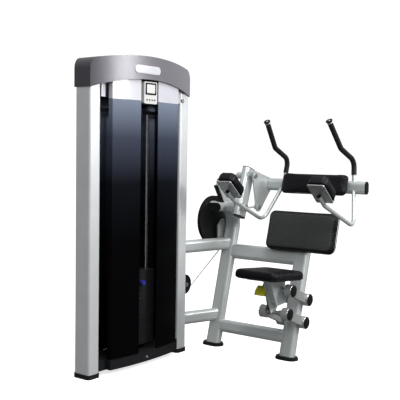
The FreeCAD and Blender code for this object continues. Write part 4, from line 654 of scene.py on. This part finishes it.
def make_link_trim(materials):
    """Bright rims and domed dark caps at the ends of the seat's links, on both sides."""
    radius = CAP_RADIUS
    dome = [
        (0.01, -0.001), (0.0325, -0.001), (0.0325, 0.0002), (0.029, 0.0014), (0.02, 0.0028), (0.008, 0.0034),
    ]
    for link in ("upper_link", "lower_link"):
        low, high = np.array(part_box(link + "_caps"))
        spots = [(low[0] + radius, high[2] - radius), (high[0] - radius, low[2] + radius)]
        rims, domes = [], []
        for side, y in ((-1, low[1]), (1, high[1])):
            for x, z in spots:
                rims.append(ring((x, y - side * CAP_THICK, z), (0, 1, 0), radius + 0.0015, 0.0036))
                domes.append(turned(dome, (x, y, z), (0, side, 0), 40))
        for name, shapes, finish in (("_rims", rims, "polished_steel"), ("_domes", domes, "black_plastic")):
            mesh_object(link + name, *joined(shapes), materials[finish], finish, link + "_body")


def make_elbow_screws(materials):
    """Four screws near the corners of each elbow plate's underside."""
    screws = []
    below = ELBOW_CUSHION[2] / 2 + REST_GAP + PLATE_THICK
    for _, (centre, axes) in elbow_places():
        for along in (-0.062, 0.062):
            for aside in (-0.038, 0.038):
                spot = centre + np.array([along, aside, -below]) @ axes
                screws.append(screw_head(spot, -axes[2], 0.0065))
    mesh_object("elbow_screws", *joined(screws), materials["zinc_steel"], "zinc_steel", "arm")


def make_grip_ends(materials):
    """A bright collar and a dark flange with a bright middle at the top of each grip."""
    collar = [(0.0128, -0.011), (0.0168, -0.0105), (0.0172, -0.006), (0.0168, -0.001), (0.0128, -0.0005)]
    flange = [
        (0.012, 0.0), (0.0205, 0.0), (0.0215, 0.002), (0.0205, 0.0045), (0.012, 0.0055), (0.008, 0.0055),
    ]
    button = [(0.007, 0.005), (0.0075, 0.0062), (0.005, 0.0074), (0.002, 0.0078)]
    plug_end = 0.0045
    collars, flanges = [], []
    for side in (-1, 1):
        top, bend = (np.array([x, USER_SIDE + side * y, z]) for x, y, z in (GRIP_TOP, GRIP_BEND))
        out = (top - bend) / np.linalg.norm(top - bend)
        end = top + out * plug_end
        collars.append(turned(collar, top, out, 40))
        flanges.append(turned(flange, end, out, 40))
        collars.append(turned(button, end, out, 24))
    mesh_object("grip_collars", *joined(collars), materials["zinc_steel"], "zinc_steel", "arm")
    mesh_object("grip_flanges", *joined(flanges), materials["black_plastic"], "black_plastic", "arm")


def make_member_strips(materials):
    """A pale strip at each end of the flat bar between the posts, beside the bands."""
    low, high = np.array(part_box("tower_crossmembers"))
    points, faces = slab(0.030, 0.072, 0.002, 0.0015, 0.0004)
    from_end = 0.018
    for name, x in (("left", low[0] + from_end), ("right", high[0] - from_end)):
        placed = np.array([x, low[1], STRIP_HEIGHT]) + points @ FACE_FRONT
        mesh_object("member_strip_" + name, placed, faces, materials["band_paint"], "band_paint", "frame")


def make_counter_screen(materials):
    """The counter's display: a dark bezel round a pale screen."""
    low, high = np.array(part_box("counter_housing"))
    middle = (low + high) / 2
    above_middle = 0.022
    for name, finish, wide, tall, out, thick in (
        ("counter_bezel", "black_plastic", 0.094, 0.068, 0.0, 0.0016),
        ("counter_screen", "counter_white", 0.070, 0.050, 0.0016, 0.0008),
    ):
        points, faces = slab(wide, tall, 0.006, thick, 0.0004)
        place = np.array([middle[0], low[1] - out, middle[2] + above_middle])
        mesh_object(name, place + points @ FACE_FRONT, faces, materials[finish], finish, "frame")


def make_cap_plaque(materials):
    """A blank pale plaque that follows the bow of the tower cap's front, an arc through its ends."""
    low, high = np.array(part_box("tower_cap"))
    half = (high[0] - low[0]) / 2
    radius = (half**2 + CAP_BOW**2) / (2 * CAP_BOW)
    points, faces = slab(0.212, 0.047, 0.0225, 0.003, 0.0012, 128)
    left_of_middle, below_top = 0.035, 0.078
    x, z = points[:, 0] - left_of_middle, points[:, 1] - below_top
    fall = radius - np.sqrt(radius**2 - x**2)
    placed = np.stack([TOWER_CENTRE + x, low[1] + fall - points[:, 2], high[2] + z], -1)
    mesh_object("cap_plaque", placed, faces, materials["band_paint"], "band_paint", "frame")


def make_frame_bolts(materials):
    """Round bolt heads: on the base tray's front and on the stop plate beside the neck."""
    tray_low, _ = np.array(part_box("tower_base"))
    plate_low, plate_high = np.array(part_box("stop_plate"))
    heads = [screw_head((TOWER_CENTRE, tray_low[1], tray_low[2] + 0.025), (0, -1, 0), 0.008)]
    heads.append(screw_head((plate_high[0] - 0.055, plate_low[1], plate_low[2] + 0.05), (0, -1, 0), 0.009))
    mesh_object("frame_bolts", *joined(heads), materials["zinc_steel"], "zinc_steel", "frame")


# ---- stage -------------------------------------------------------------------------------------


def make_floor():
    """A pale matt floor, bright enough to run into the backdrop."""
    reach = 30
    corners = [(-reach, -reach, 0), (reach, -reach, 0), (reach, reach, 0), (-reach, reach, 0)]
    mesh = bpy.data.meshes.new("floor")
    mesh.from_pydata(corners, [], [(0, 1, 2, 3)])
    floor = bpy.data.objects.new("floor", mesh)
    bpy.context.scene.collection.objects.link(floor)
    finish = Finish("studio_floor", (0.9, 0.9, 0.9), 0.95, 0.0, **{
        "Specular IOR Level": 0.0, "Emission Color": (1, 1, 1, 1), "Emission Strength": 0.72})
    mesh.materials.append(finish.material)
    floor.visible_diffuse = floor.visible_glossy = False


def make_backdrop():
    """A white studio all round that lights less from below, and looks even white behind the machine."""
    world = bpy.data.worlds.new("studio")
    world.use_nodes = True
    nodes, links = world.node_tree.nodes, world.node_tree.links
    background = next(n for n in nodes if n.type == "BACKGROUND")
    output = next(n for n in nodes if n.type == "OUTPUT_WORLD")
    where = nodes.new("ShaderNodeTexCoord")
    split = nodes.new("ShaderNodeSeparateXYZ")
    links.new(where.outputs["Generated"], split.inputs["Vector"])
    ramp = nodes.new("ShaderNodeValToRGB")
    height = nodes.new("ShaderNodeMapRange")
    height.inputs["From Min"].default_value = -1
    links.new(split.outputs["Z"], height.inputs["Value"])
    links.new(height.outputs["Result"], ramp.inputs["Fac"])
    for element, (place, shade) in zip(ramp.color_ramp.elements, ((0.4, 0.3), (0.85, 1.0))):
        element.position = place
        element.color = (shade, shade, shade, 1)
    links.new(ramp.outputs["Color"], background.inputs["Color"])
    background.inputs["Strength"].default_value = 0.5
    white = nodes.new("ShaderNodeBackground")
    white.inputs["Color"].default_value = (1, 1, 1, 1)
    white.inputs["Strength"].default_value = 1.05
    seen = nodes.new("ShaderNodeLightPath")
    mix = nodes.new("ShaderNodeMixShader")
    links.new(seen.outputs["Is Camera Ray"], mix.inputs["Fac"])
    links.new(background.outputs["Background"], mix.inputs[1])
    links.new(white.outputs["Background"], mix.inputs[2])
    links.new(mix.outputs["Shader"], output.inputs["Surface"])
    bpy.context.scene.world = world
    bpy.context.scene.view_settings.view_transform = "Standard"


def make_lights():
    """Soft light from large panels: a key at the front left, a high one, and a rim from the right."""
    for name, place, target, size, power in (
        ("key", (-3.2, -3.6, 3.2), (-0.3, -0.2, 0.9), 1.8, 66),
        ("overhead", (-0.4, -1.2, 3.8), (-0.2, -0.3, 0.6), 2.2, 62),
        ("rim", (1.2, -3.6, 2.2), (0.0, -0.4, 0.7), 1.0, 78),
    ):
        light = bpy.data.lights.new(name, "AREA")
        light.size = size
        light.energy = power
        lamp = bpy.data.objects.new(name, light)
        bpy.context.scene.collection.objects.link(lamp)
        ahead = np.array(target, float) - np.array(place, float)
        ahead /= np.linalg.norm(ahead)
        right = np.cross(ahead, (0, 0, 1))
        right /= np.linalg.norm(right)
        stand(lamp, right, np.cross(right, ahead), -ahead, place)


make_camera()
materials = make_materials()
dress_nodes(materials)
make_pads(materials)
make_link_trim(materials)
make_elbow_screws(materials)
make_counter_screen(materials)
make_cap_plaque(materials)
make_grip_ends(materials)
make_member_strips(materials)
make_frame_bolts(materials)
make_floor()
make_backdrop()
make_lights()
